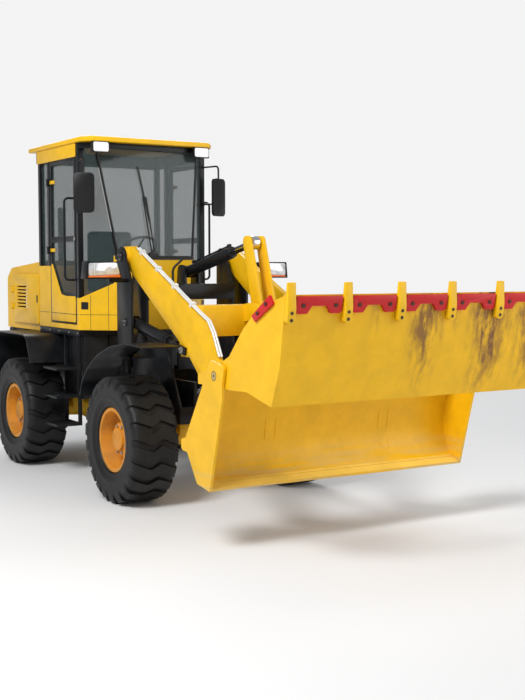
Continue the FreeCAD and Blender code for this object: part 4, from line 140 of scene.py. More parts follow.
class Nodes:
    """A short way to add and join the nodes of a tree."""

    def __init__(self, tree: bpy.types.NodeTree) -> None:
        """Takes the tree.

        Args:
            tree: Where the nodes go.
        """
        self.nodes = tree.nodes
        self.links = tree.links

    def add(self, kind: str, **settings: object) -> bpy.types.Node:
        """Adds a node and sets or joins its inputs, or sets its properties.

        Args:
            kind: The node's type.
            settings: Input names (spaces as underscores) or property names with their values.

        Returns:
            The new node.
        """
        node = self.nodes.new(kind)
        for name, value in settings.items():
            label = name.replace("_", " ")
            if label not in node.inputs:
                setattr(node, name, value)
            elif isinstance(value, Socket):
                self.join(value, node.inputs[label])
            else:
                node.inputs[label].default_value = value
        return node

    def join(self, source: Socket, target: Socket) -> None:
        """Joins two sockets."""
        self.links.new(source, target)

    def work(self, operation: str, first: Socket, second: object = None) -> Socket:
        """Works out one value from others.

        Args:
            operation: The Math node's operation.
            first: Its first value.
            second: Its second value: a number, a socket, or None if it takes one value.

        Returns:
            The result.
        """
        node = self.add("ShaderNodeMath", operation=operation)
        self.join(first, node.inputs[0])
        if isinstance(second, Socket):
            self.join(second, node.inputs[1])
        elif second is not None:
            node.inputs[1].default_value = second
        return node.outputs[0]


class MaterialTree(Nodes):
    """The nodes of a material, whose patterns follow Object coordinates."""

    def __init__(self, name: str) -> None:
        """Starts a material.

        Args:
            name: The material's name.
        """
        self.material = bpy.data.materials.new(name)
        self.material.use_nodes = True
        super().__init__(self.material.node_tree)
        self.shader = self.nodes["Principled BSDF"]
        self.place = self.nodes.new("ShaderNodeTexCoord").outputs["Object"]

    def set(self, **values: object) -> None:
        """Sets inputs of the shader, with spaces in their names as underscores."""
        for name, value in values.items():
            self.shader.inputs[name.replace("_", " ")].default_value = value

    def noise(self, scale: float, detail: float = 4.0, rough: float = 0.6) -> Socket:
        """Adds a noise on Object coordinates.

        Args:
            scale: Its scale per metre.
            detail: Its octaves.
            rough: Its roughness.

        Returns:
            The noise's factor.
        """
        node = self.add("ShaderNodeTexNoise", Vector=self.place, Scale=scale, Detail=detail,
                        Roughness=rough)
        return node.outputs["Fac"]

    def stretched(self, scale: Point, detail: float) -> Socket:
        """Adds a noise with its own scale along each axis.

        Args:
            scale: The scales per metre.
            detail: The noise's octaves.

        Returns:
            The noise's factor.
        """
        mapping = self.add("ShaderNodeMapping", Vector=self.place, Scale=scale)
        node = self.add("ShaderNodeTexNoise", Vector=mapping.outputs[0], Scale=1.0, Detail=detail,
                        Roughness=0.7)
        return node.outputs["Fac"]

    def split(self) -> bpy.types.Node:
        """Splits the place into its three numbers."""
        return self.add("ShaderNodeSeparateXYZ", Vector=self.place)

    def band(self, source: Socket, low: float, high: float, out_low: float = 0.0,
             out_high: float = 1.0) -> Socket:
        """Maps a value from one range to another, held at the ends.

        Args:
            source: The value.
            low: The range's low end.
            high: The range's high end.
            out_low: What the low end gives.
            out_high: What the high end gives.

        Returns:
            The mapped value.
        """
        node = self.add("ShaderNodeMapRange", Value=source, From_Min=low, From_Max=high,
                        To_Min=out_low, To_Max=out_high)
        return node.outputs[0]

    def mix(self, factor: Socket, first: object, second: object) -> Socket:
        """Mixes two colours.

        Args:
            factor: 0 gives the first, 1 the second.
            first: A colour or a socket.
            second: A colour or a socket.

        Returns:
            The mixed colour.
        """
        node = self.add("ShaderNodeMix", data_type="RGBA")
        self.join(factor, node.inputs[0])
        for index, value in ((6, first), (7, second)):  # the colour sockets
            if isinstance(value, Socket):
                self.join(value, node.inputs[index])
            else:
                node.inputs[index].default_value = (*value, 1.0)
        return node.outputs[2]

    def bump(self, source: Socket, strength: float, distance: float) -> None:
        """Adds a fine relief to the shader.

        Args:
            source: The relief's height.
            strength: Its strength.
            distance: Its depth in metres.
        """
        node = self.add("ShaderNodeBump", Strength=strength, Distance=distance, Height=source)
        self.join(node.outputs["Normal"], self.shader.inputs["Normal"])

    def colour(self, source: Socket) -> None:
        """Joins a colour to the shader."""
        self.join(source, self.shader.inputs["Base Color"])


@dataclass(frozen=True)
class Finish:
    """A plain finish: a colour, how rough it is and a slight mottling."""

    name: str
    slot: str
    colour: Colour
    roughness: float = 0.5
    metallic: float = 0.0
    mottle: float = 0.12
    scale: float = 6.0
    relief: float = 0.0
    shine: float = 0.5

    def start(self) -> MaterialTree:
        """Starts the material with its plain values."""
        tree = MaterialTree(self.name)
        tree.set(Roughness=self.roughness, Metallic=self.metallic, Specular_IOR_Level=self.shine)
        return tree

    def mottled(self, tree: MaterialTree, low: float, high: float) -> Socket:
        """Gives the colour, darker in soft patches.

        Args:
            tree: The material.
            low: The noise at which the dark begins.
            high: The noise at which it is full.

        Returns:
            The colour.
        """
        dark = tuple(v * (1 - self.mottle) for v in self.colour)
        return tree.mix(tree.band(tree.noise(self.scale), low, high), self.colour, dark)

    def build(self) -> bpy.types.Material:
        """Builds the material."""
        tree = self.start()
        tree.colour(self.mottled(tree, 0.3, 0.7))
        if self.relief:
            tree.bump(tree.noise(self.scale * 40), 0.4, self.relief)
        return tree.material


@dataclass(frozen=True)
class DustyPaint(Finish):
    """Paint with soft dust in patches, more of it low down."""

    dust: Colour = (0.42, 0.36, 0.27)
    dust_share: float = 0.35

    def build(self) -> bpy.types.Material:
        """Builds the material."""
        tree = self.start()
        paint = self.mottled(tree, 0.35, 0.65)
        low = tree.band(tree.split().outputs["Z"], 0.2, 2.2, 1.0, 0.25)
        patches = tree.band(tree.noise(3.1, 8.0, 0.7), 0.42, 0.75)
        share = tree.band(tree.work("MULTIPLY", low, patches), 0.0, 1.0, 0.0, self.dust_share)
        tree.colour(tree.mix(share, paint, self.dust))
        rough = tree.band(share, 0.0, 0.3, self.roughness, 0.8)
        tree.join(rough, tree.shader.inputs["Roughness"])
        return tree.material


@dataclass(frozen=True)
class WornPaint(Finish):
    """Paint with rust in stated patches with runs below them, scuffs along a low edge, and pin
    ends painted on, each with a painted shadow ring and painted shade in its bore.
    """

    rust: Colour = (0.16, 0.06, 0.025)
    bare: Colour = (0.62, 0.42, 0.13)
    # painted shadow: a dark ring round each painted pin end
    pin_shadow: Colour = (0.08, 0.05, 0.01)
    pin_face: Colour = (0.45, 0.33, 0.12)
    # painted shade: the dark bore in the middle of each painted pin end
    pin_bore: Colour = (0.12, 0.08, 0.03)
    worn: float = 0.5
    patches: Sequence[tuple[float, float, float, float]] = ()
    scuff: Flat | None = None
    pins: Sequence[Point] = ()

    def build(self) -> bpy.types.Material:
        """Builds the material."""
        tree = self.start()
        paint = self.mottled(tree, 0.35, 0.65)
        faded = tree.band(tree.noise(2.3, 8.0, 0.75), 0.66 - self.worn * 0.2, 0.9, 0.0, 0.5)
        spots = tree.band(tree.noise(5.7, 10.0, 0.8), 0.76 - self.worn * 0.16,
                          0.80 - self.worn * 0.1)
        look = tree.mix(spots, tree.mix(faded, paint, self.bare), self.rust)
        apart = tree.split()
        for y, z, reach, depth in self.patches:
            look = tree.mix(self.patch(tree, apart, y, z, reach, depth), look, self.rust)
        if self.scuff:
            low = tree.band(apart.outputs["Z"], *self.scuff, 1.0, 0.0)
            streaks = tree.band(tree.stretched((0.7, 1.5, 22.0), 3.0), 0.42, 0.62)
            look = tree.mix(tree.work("MULTIPLY", low, streaks), look, self.bare)
        # each pin end is painted on: a ring of painted shadow round it, its face, then painted
        # shade in its bore
        for x, z, radius in self.pins:
            away = self.pin_distance(tree, spot(x, 0, z))
            for inner, outer, tint in ((radius + 0.006, radius + 0.008, self.pin_shadow),
                                       (radius, radius + 0.002, self.pin_face),
                                       (radius * 0.4, radius * 0.42, self.pin_bore)):
                look = tree.mix(tree.band(away, inner, outer, 1.0, 0.0), look, tint)
        tree.colour(look)
        tree.bump(spots, 0.2, 0.001)
        return tree.material

    @staticmethod
    def pin_distance(tree: MaterialTree, middle: Vector) -> Socket:
        """Gives the distance from a pin's line along Y.

        Args:
            tree: The material.
            middle: A point on the line.

        Returns:
            The distance in metres.
        """
        flat = tree.add("ShaderNodeVectorMath", operation="MULTIPLY", Vector=tree.place)
        flat.inputs[1].default_value = (1.0, 0.0, 1.0)
        away = tree.add("ShaderNodeVectorMath", operation="DISTANCE", Vector=flat.outputs[0])
        away.inputs[1].default_value = (middle.x, 0.0, middle.z)
        return away.outputs["Value"]

    @staticmethod
    def patch(tree: MaterialTree, apart: bpy.types.Node, y: float, z: float, reach: float,
              depth: float) -> Socket:
        """Masks one rust patch that fades out, with runs below it.

        Args:
            tree: The material.
            apart: The node that gives the place's three numbers.
            y: The patch's middle in metres.
            z: Its height in metres.
            reach: Its half width in metres.
            depth: How dark it gets, 0 to 1.

        Returns:
            The mask.
        """
        off = tree.work("ABSOLUTE", tree.work("SUBTRACT", apart.outputs["Y"], y))
        wide = tree.band(off, 0.0, reach, 1.0, 0.0)
        below = tree.band(apart.outputs["Z"], z - reach * 3.2, z)
        above = tree.band(apart.outputs["Z"], z, z + reach * 1.1, 1.0, 0.0)
        form = tree.work("MULTIPLY", tree.work("MULTIPLY", wide, below), above)
        grain = tree.band(tree.stretched((9.0, 16.0, 5.0), 9.0), 0.36, 0.66)
        return tree.band(tree.work("MULTIPLY", form, grain), 0.05, 0.45, 0.0, depth)


@dataclass(frozen=True)
class TintedGlass(Finish):
    """Green-grey safety glass."""

    depth: float = 0.45

    def build(self) -> bpy.types.Material:
        """Builds the material."""
        tree = self.start()
        tree.set(Base_Color=(*self.colour, 1.0), Alpha=self.depth)
        return tree.material


YELLOW = DustyPaint("sun yellow paint", "yellow_paint", (0.84, 0.475, 0.004), 0.34,
                    dust_share=0.12, shine=0.3)
ORANGE = DustyPaint("orange rim paint", "orange_paint", (0.70, 0.27, 0.012), 0.4,
                    dust=(0.22, 0.13, 0.05), dust_share=0.7)
BLACK = DustyPaint("black frame paint", "black_paint", (0.006, 0.007, 0.009), 0.30,
                   dust=(0.07, 0.065, 0.055), dust_share=0.25, shine=0.26)
CLAM = WornPaint("worn clam paint", "worn_yellow", (0.84, 0.47, 0.005), 0.38, worn=0.15, shine=0.3,
                 patches=(
                     # y, height, half width, depth
                     (0.60, 1.71, 0.25, 0.95), (0.03, 1.68, 0.20, 0.85), (0.97, 1.70, 0.20, 0.9),
                     (0.28, 1.75, 0.08, 0.5), (-0.40, 1.72, 0.07, 0.4),
                 ))
# the board's hinge pin end is painted on, with a painted shadow ring round it and painted shade in
# its bore
BOARD = WornPaint("worn board paint", "worn_yellow", (0.84, 0.47, 0.005), 0.38, worn=0.15,
                  shine=0.3, scuff=(0.46, 0.70), pins=((2045.0, 1250.0, 0.028),))
TEETH = WornPaint("worn tooth paint", "worn_yellow", (0.84, 0.48, 0.005), 0.4, worn=0.2, shine=0.3)
SEGMENT = Finish("red edge paint", "red_paint", (0.55, 0.012, 0.014), 0.40, shine=0.3)
EDGE = Finish("pale edge paint", "worn_yellow", (0.90, 0.60, 0.10), 0.4, mottle=0.25, scale=3.0)
STEEL = Finish("bare steel", "grey_steel", (0.42, 0.41, 0.39), 0.38, 0.9)
CHROME = Finish("polished rod", "rod_chrome", (0.75, 0.75, 0.76), 0.16, 1.0, mottle=0.03)
RUBBER = Finish("tyre rubber", "tyre_rubber", (0.008, 0.008, 0.008), 0.52, mottle=0.35,
                relief=0.0008, shine=0.35)
HOSE = Finish("hose rubber", "black_plastic", (0.018, 0.018, 0.019), 0.55)
PLASTIC = Finish("black plastic", "black_plastic", (0.008, 0.008, 0.009), 0.34, relief=0.0003,
                 shine=0.3)
GLASS = TintedGlass("tinted glass", "cab_glazing", (0.05, 0.075, 0.075), 0.03, shine=0.6,
                    depth=0.36)
LENS = Finish("lamp lens", "lamp_glass", (0.88, 0.88, 0.88), 0.12, mottle=0.02)
AMBER = Finish("amber lens", "signal_lens", (0.85, 0.16, 0.02), 0.15, mottle=0.05)
TAIL = Finish("tail lamp lens", "signal_lens", (0.45, 0.015, 0.01), 0.2)
REFLECTOR = Finish("lamp reflector", "lamp_glass", (0.78, 0.80, 0.82), 0.10, 0.35, mottle=0.35,
                   scale=30.0)
RUSTY = Finish("rusty bolt steel", "cast_block", (0.09, 0.045, 0.025), 0.7, 0.3, mottle=0.5)
CAST = Finish("dark cast iron", "cast_block", (0.045, 0.045, 0.048), 0.6)
CLOTH = Finish("seat cloth", "black_plastic", (0.010, 0.010, 0.012), 0.8, shine=0.2)
SEAL = Finish("window seal", "black_plastic", (0.012, 0.012, 0.012), 0.6)
PALE = Finish("pale tube steel", "grey_steel", (0.80, 0.80, 0.77), 0.3, 0.15)


@cache
def material(finish: Finish) -> bpy.types.Material:
    """Gives a finish's material, built once."""
    return finish.build()


def link(name: str, mesh: bpy.types.Mesh) -> Piece:
    """Adds a mesh to the scene.

    Args:
        name: The piece's name.
        mesh: Its mesh, already in place.

    Returns:
        The new object.
    """
    item = bpy.data.objects.new(name, mesh)
    bpy.context.scene.collection.objects.link(item)
    return item


def link_faces(name: str, bm: BMesh) -> Piece:
    """Adds a bmesh to the scene and frees it.

    Args:
        name: The piece's name.
        bm: Its faces, already in place.

    Returns:
        The new object.
    """
    mesh = bpy.data.meshes.new(name)
    bm.to_mesh(mesh)
    bm.free()
    return link(name, mesh)


def finish_mesh(name: str, bm: BMesh, smooth: float = SMOOTH) -> Piece:
    """Turns a bmesh into an object with outward faces.

    Args:
        name: The piece's name.
        bm: The bmesh, freed here.
        smooth: The greatest angle in degrees that is shaded smooth.

    Returns:
        The new object.
    """
    bmesh.ops.remove_doubles(bm, verts=bm.verts, dist=MERGE)
    bmesh.ops.recalc_face_normals(bm, faces=bm.faces)
    item = link_faces(name, bm)
    shade(item, smooth)
    return item


def shade(item: Piece, angle: float = SMOOTH) -> None:
    """Shades a piece smooth, with sharp edges past an angle.

    Args:
        item: The piece.
        angle: The angle in degrees.
    """
    for polygon in item.data.polygons:
        polygon.use_smooth = True
    item.data.set_sharp_from_angle(angle=math.radians(angle))


def bake_modifiers(item: Piece) -> None:
    """Turns a piece and its modifiers into a plain mesh."""
    depsgraph = bpy.context.evaluated_depsgraph_get()
    mesh = bpy.data.meshes.new_from_object(item.evaluated_get(depsgraph))
    item.modifiers.clear()
    old = item.data
    item.data = mesh
    bpy.data.meshes.remove(old)


def break_edges(item: Piece, width: float, angle: float = SHARP) -> None:
    """Breaks a piece's sharp edges.

    Args:
        item: The piece.
        width: The broken edges' width in metres.
        angle: Edges sharper than this many degrees are broken.
    """
    bevel = item.modifiers.new("broken edges", "BEVEL")
    bevel.width = width
    bevel.segments = EDGE_STEPS
    bevel.limit_method = "ANGLE"
    bevel.angle_limit = math.radians(angle)
    bake_modifiers(item)


def dress(item: Piece, finish: Finish, body: str, *nodes: str) -> Piece:
    """Gives a piece its finish, its body and the nodes that it stands for.

    Args:
        item: The piece.
        finish: Its finish.
        body: The CAD body that it rides on.
        nodes: CAD nodes that it replaces.

    Returns:
        The piece.
    """
    item.data.materials.clear()
    item.data.materials.append(material(finish))
    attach(item, body)
    if nodes:
        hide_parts(*nodes)
    LOG.info("%s: %d faces on %s", item.name, len(item.data.polygons), body)
    return item


def softened(node: str, finish: Finish, width: float = 0.004, angle: float = SHARP,
             name: str | None = None, smooth: float = SMOOTH) -> Piece:
    """Copies a CAD node with its sharp edges broken.

    Args:
        node: The node's name.
        finish: The copy's finish.
        width: The bevel's width in metres.
        angle: Edges sharper than this many degrees are bevelled.
        name: The copy's name, or None for one made from the node's.
        smooth: The greatest angle in degrees that is shaded smooth.

    Returns:
        The copy, which replaces the node.
    """
    source = frame["nodes"][node]
    bm = bmesh.new()
    bm.from_mesh(source.data)
    bmesh.ops.remove_doubles(bm, verts=bm.verts, dist=CAD_MERGE)
    bmesh.ops.dissolve_limit(bm, angle_limit=math.radians(FLAT_EDGE), verts=bm.verts,
                             edges=bm.edges)
    item = link_faces(name or node + "_shell", bm)
    if width:
        break_edges(item, width, angle)
    shade(item, smooth)
    return dress(item, finish, source["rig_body"], node)


def bridge(bm: BMesh, rings: Sequence[Sequence[bmesh.types.BMVert]], closed: bool = False) -> None:
    """Skins a row of rings that have as many points each.

    Args:
        bm: Where the faces go.
        rings: The rings in order.
        closed: Whether the last ring meets the first; if not, both are filled.
    """
    after_each = [*rings[1:], rings[0]] if closed else rings[1:]
    for here, after in zip(rings, after_each):
        for index in range(len(here)):
            other = (index + 1) % len(here)
            bm.faces.new([here[index], here[other], after[other], after[index]])
    if not closed:
        bm.faces.new(list(reversed(rings[0])))
        bm.faces.new(rings[-1])


def round_axle(hub: Vector, angle: float, radius: float, along: float) -> Vector:
    """Gives a place round a wheel's axle.

    Args:
        hub: The wheel's middle.
        angle: The turn from the top in radians.
        radius: The distance from the axle in metres.
        along: The place along the axle in metres.

    Returns:
        The place.
    """
    return hub + Vector((math.sin(angle) * radius, along, math.cos(angle) * radius))


def add_box(bm: BMesh, low: Vector, high: Vector) -> None:
    """Adds a box between two corners."""
    size = high - low
    matrix = Matrix.Translation((low + high) / 2) @ Matrix.Diagonal((*size, 1.0))
    bmesh.ops.create_cube(bm, size=1.0, matrix=matrix)


def add_prism(bm: BMesh, outline: Sequence[Vector], push: Vector) -> None:
    """Adds a prism: an outline pushed along a vector."""
    near = [bm.verts.new(point) for point in outline]
    far = [bm.verts.new(point + push) for point in outline]
    bridge(bm, [near, far])


def rounded_path(points: Sequence[Vector], bend: float, steps: int = 6) -> list[Vector]:
    """Rounds the corners of a path with tangent arcs.

    Args:
        points: The path's corners.
        bend: The arc's radius.
        steps: Points on each arc.

    Returns:
        The path's points.
    """
    path = [points[0]]
    for before, corner, after in zip(points, points[1:], points[2:]):
        back, ahead = (before - corner).normalized(), (after - corner).normalized()
        half = back.angle(ahead) / 2
        shorter = min((before - corner).length, (after - corner).length)
        radius = min(bend, 0.45 * shorter * math.tan(half))
        hub = corner + (back + ahead).normalized() * (radius / math.sin(half))
        start = corner + back * (radius / math.tan(half)) - hub
        stop = corner + ahead * (radius / math.tan(half)) - hub
        path += [hub + start.slerp(stop, step / steps) * radius for step in range(steps + 1)]
    path.append(points[-1])
    return path


def add_tube(bm: BMesh, points: Sequence[Vector], radius: float, count: int = 12) -> None:
    """Adds a round tube along a path.

    Args:
        bm: Where the faces go.
        points: The path.
        radius: The tube's radius.
        count: Its sides.
    """
    rings = []
    side = None
    for index, point in enumerate(points):
        ahead = points[min(index + 1, len(points) - 1)] - points[max(index - 1, 0)]
        ahead.normalize()
        if side is None:
            side = ahead.orthogonal().normalized()
        side = (side - ahead * side.dot(ahead)).normalized()
        other = ahead.cross(side)
        rings.append([
            bm.verts.new(point + (side * math.cos(a) + other * math.sin(a)) * radius)
            for a in (2 * math.pi * k / count for k in range(count))
        ])
    bridge(bm, rings)


def rounded_loop(points: Sequence[Flat], radius: float, steps: int = 4) -> list[Flat]:
    """Rounds every corner of a closed outline.

    Args:
        points: The outline's corners.
        radius: The arcs' radius, in the outline's own unit.
        steps: Points on each arc.

    Returns:
        The rounded outline.
    """
    loop = []
    count = len(points)
    for index in range(count):
        before, corner, after = (Vector((*points[k % count], 0.0))
                                 for k in (index - 1, index, index + 1))
        back, ahead = before - corner, after - corner
        half = back.angle(ahead) / 2
        reach = min(radius / math.tan(half), 0.49 * min(back.length, ahead.length))
        back.normalize()
        ahead.normalize()
        hub = corner + (back + ahead).normalized() * (reach / math.cos(half))
        start, stop = corner + back * reach - hub, corner + ahead * reach - hub
        for step in range(steps + 1):
            point = hub + start.slerp(stop, step / steps) * start.length
            loop.append((point.x, point.y))
    return loop


def oblong(u0: float, u1: float, v0: float, v1: float, radius: float = 0.0) -> list[Flat]:
    """Gives a rectangle's outline, rounded if a radius is given."""
    corners = [(u0, v0), (u1, v0), (u1, v1), (u0, v1)]
    return rounded_loop(corners, radius) if radius else corners


def disc(u: float, v: float, radius: float, count: int = 28) -> list[Flat]:
    """Gives a circle's outline."""
    turns = (2 * math.pi * k / count for k in range(count))
    return [(u + math.cos(a) * radius, v + math.sin(a) * radius) for a in turns]


@dataclass(frozen=True)
class Patch:
    """A flat place on the loader with its own ways; places on it are in millimetres."""

    origin: Vector
    across: Vector
    up: Vector
    out: Vector

    @classmethod
    def beside(cls, side: Side, y: float) -> "Patch":
        """A patch on the loader's side: u is x from the front axle, v the height."""
        return cls(spot(0, y * side.value, 0), Axis.X.way, Axis.Z.way, Axis.Y.way * side.value)

    @classmethod
    def ahead(cls, x: float, out: int = 1) -> "Patch":
        """A patch across the loader: u is y, v the height; out is -1 on a rear face."""
        return cls(spot(x, 0, 0), Axis.Y.way, Axis.Z.way, Axis.X.way * out)

    @classmethod
    def between(cls, low: Vector, high: Vector, out: Vector) -> "Patch":
        """A patch whose up way goes from one point to another."""
        up = (high - low).normalized()
        facing = (out - up * out.dot(up)).normalized()
        return cls(low, up.cross(facing), up, facing)

    def at(self, u: float, v: float, w: float = 0.0) -> Vector:
        """Gives a place on the patch, w above it."""
        return self.origin + (self.across * u + self.up * v + self.out * w) / 1000

    def plate(self, bm: BMesh, outline: Sequence[Flat], height: float) -> None:
        """Adds a plate that stands on the patch.

        Args:
            bm: Where the faces go.
            outline: The plate's outline.
            height: How far it stands out.
        """
        foot = [self.at(u, v, -SINK) for u, v in outline]
        add_prism(bm, foot, self.out * ((height + SINK) / 1000))


def trim(name: str, finish: Finish, body: str, patch: Patch, outlines: Iterable[Sequence[Flat]],
         height: float, edge: float = 0.0) -> Piece:
    """Builds plates on one patch as one piece.

    Args:
        name: The piece's name.
        finish: Its finish.
        body: The CAD body that it rides on.
        patch: Where the plates stand.
        outlines: One outline for each plate.
        height: How far they stand out in millimetres.
        edge: The width of their broken edges in metres.

    Returns:
        The piece.
    """
    bm = bmesh.new()
    for outline in outlines:
        patch.plate(bm, outline, height)
    item = finish_mesh(name, bm)
    if edge:
        break_edges(item, edge)
        shade(item)
    return dress(item, finish, body)


def tubes(name: str, finish: Finish, body: str, routes: Iterable[Sequence[Vector]], radius: float,
          bend: float) -> Piece:
    """Builds round tubes along rounded routes as one piece.

    Args:
        name: The piece's name.
        finish: Its finish.
        body: The CAD body that it rides on.
        routes: Each tube's corners.
        radius: The tubes' radius in metres.
        bend: The corners' radius in metres.

    Returns:
        The piece.
    """
    bm = bmesh.new()
    for route in routes:
        add_tube(bm, rounded_path(route, bend), radius)
    return dress(finish_mesh(name, bm, 50.0), finish, body)


class PieceTree(Nodes):
    """A Geometry Nodes tree with named inputs that ends in real faces with a finish."""

    def __init__(self, name: str, **inputs: str) -> None:
        """Starts the tree.

        Args:
            name: The tree's name.
            inputs: Each input's name with its kind of socket.
        """
        self.tree = bpy.data.node_groups.new(name, "GeometryNodeTree")
        super().__init__(self.tree)
        self.keys = {label: self.socket(label, kind, "INPUT") for label, kind in
                     {"Geometry": "Geometry", **inputs, "Finish": "Material"}.items()}
        self.socket("Geometry", "Geometry", "OUTPUT")
        self.given = self.add("NodeGroupInput").outputs

    def socket(self, label: str, kind: str, end: str) -> str:
        """Adds an input or output to the tree.

        Args:
            label: Its name.
            kind: Its kind.
            end: INPUT or OUTPUT.

        Returns:
            Its identifier.
        """
        made = self.tree.interface.new_socket(label, in_out=end, socket_type="NodeSocket" + kind)
        return made.identifier

    def close(self, instances: Socket) -> None:
        """Makes the instances real, gives them their finish and ends the tree."""
        real = self.add("GeometryNodeRealizeInstances", Geometry=instances)
        paint = self.add("GeometryNodeSetMaterial", Geometry=real.outputs[0],
                         Material=self.given["Finish"])
        self.add("NodeGroupOutput", Geometry=paint.outputs[0])

    def run(self, item: Piece, finish: Finish, **values: object) -> Piece:
        """Runs the tree on a piece and makes the result its mesh.

        Args:
            item: The piece.
            finish: The result's finish.
            values: A value for each of the tree's inputs.

        Returns:
            The same object with the plain mesh.
        """
        modifier = item.modifiers.new(self.tree.name, "NODES")
        modifier.node_group = self.tree
        for label, value in {**values, "Finish": material(finish)}.items():
            modifier[self.keys[label]] = value
        bake_modifiers(item)
        shade(item)
        return item


class RepeatTree(PieceTree):
    """Repeats a piece round a line along Y."""

    def __init__(self) -> None:
        """Builds the tree."""
        super().__init__("round a wheel", Count="Int", Hub="Vector")
        count, hub = self.given["Count"], self.given["Hub"]
        points = self.add("GeometryNodePoints", Count=count)
        inward = self.add("ShaderNodeVectorMath", operation="SCALE", Vector=hub, Scale=-1.0)
        moved = self.add("GeometryNodeTransform", Geometry=self.given["Geometry"],
                         Translation=inward.outputs[0])
        share = self.work("DIVIDE", self.add("GeometryNodeInputIndex").outputs[0], count)
        angles = self.add("ShaderNodeCombineXYZ", Y=self.work("MULTIPLY", share, 2 * math.pi))
        place = self.add("GeometryNodeInstanceOnPoints", Points=points.outputs[0],
                         Instance=moved.outputs[0], Rotation=angles.outputs[0])
        back = self.add("GeometryNodeTranslateInstances", Instances=place.outputs[0],
                        Translation=hub, Local_Space=False)
        self.close(back.outputs[0])


class BoltTree(PieceTree):
    """Sets a bolt head on every point, along the point's own way."""

    def __init__(self) -> None:
        """Builds the tree."""
        super().__init__("bolt heads", Radius="Float", Depth="Float", Sides="Int")
        head = self.add("GeometryNodeMeshCylinder", Vertices=self.given["Sides"],
                        Radius=self.given["Radius"], Depth=self.given["Depth"])
        way = self.add("GeometryNodeInputNamedAttribute", data_type="FLOAT_VECTOR", Name="way")
        turn = self.add("FunctionNodeAlignRotationToVector", axis="Z",
                        Vector=way.outputs["Attribute"])
        place = self.add("GeometryNodeInstanceOnPoints", Points=self.given["Geometry"],
                         Instance=head.outputs["Mesh"], Rotation=turn.outputs["Rotation"])
        self.close(place.outputs[0])

    def heads(self, name: str, places: Iterable[tuple[Vector, Vector]], radius: float,
              depth: float, finish: Finish, body: str) -> Piece:
        """Sets hexagonal bolt heads.

        Args:
            name: The piece's name.
            places: Each head's middle and the way that it faces.
            radius: A head's radius in metres.
            depth: A head's height in metres.
            finish: Their finish.
            body: The CAD body that they ride on.

        Returns:
            The new piece.
        """
        spots = list(places)
        mesh = bpy.data.meshes.new(name)
        mesh.from_pydata([tuple(point) for point, _ in spots], [], [])
        ways = mesh.attributes.new("way", "FLOAT_VECTOR", "POINT")
        for index, (_, way) in enumerate(spots):
            ways.data[index].vector = way
        item = self.run(link(name, mesh), finish, Radius=radius, Depth=depth, Sides=6)
        return dress(item, finish, body)


REPEAT = RepeatTree()
BOLTS = BoltTree()


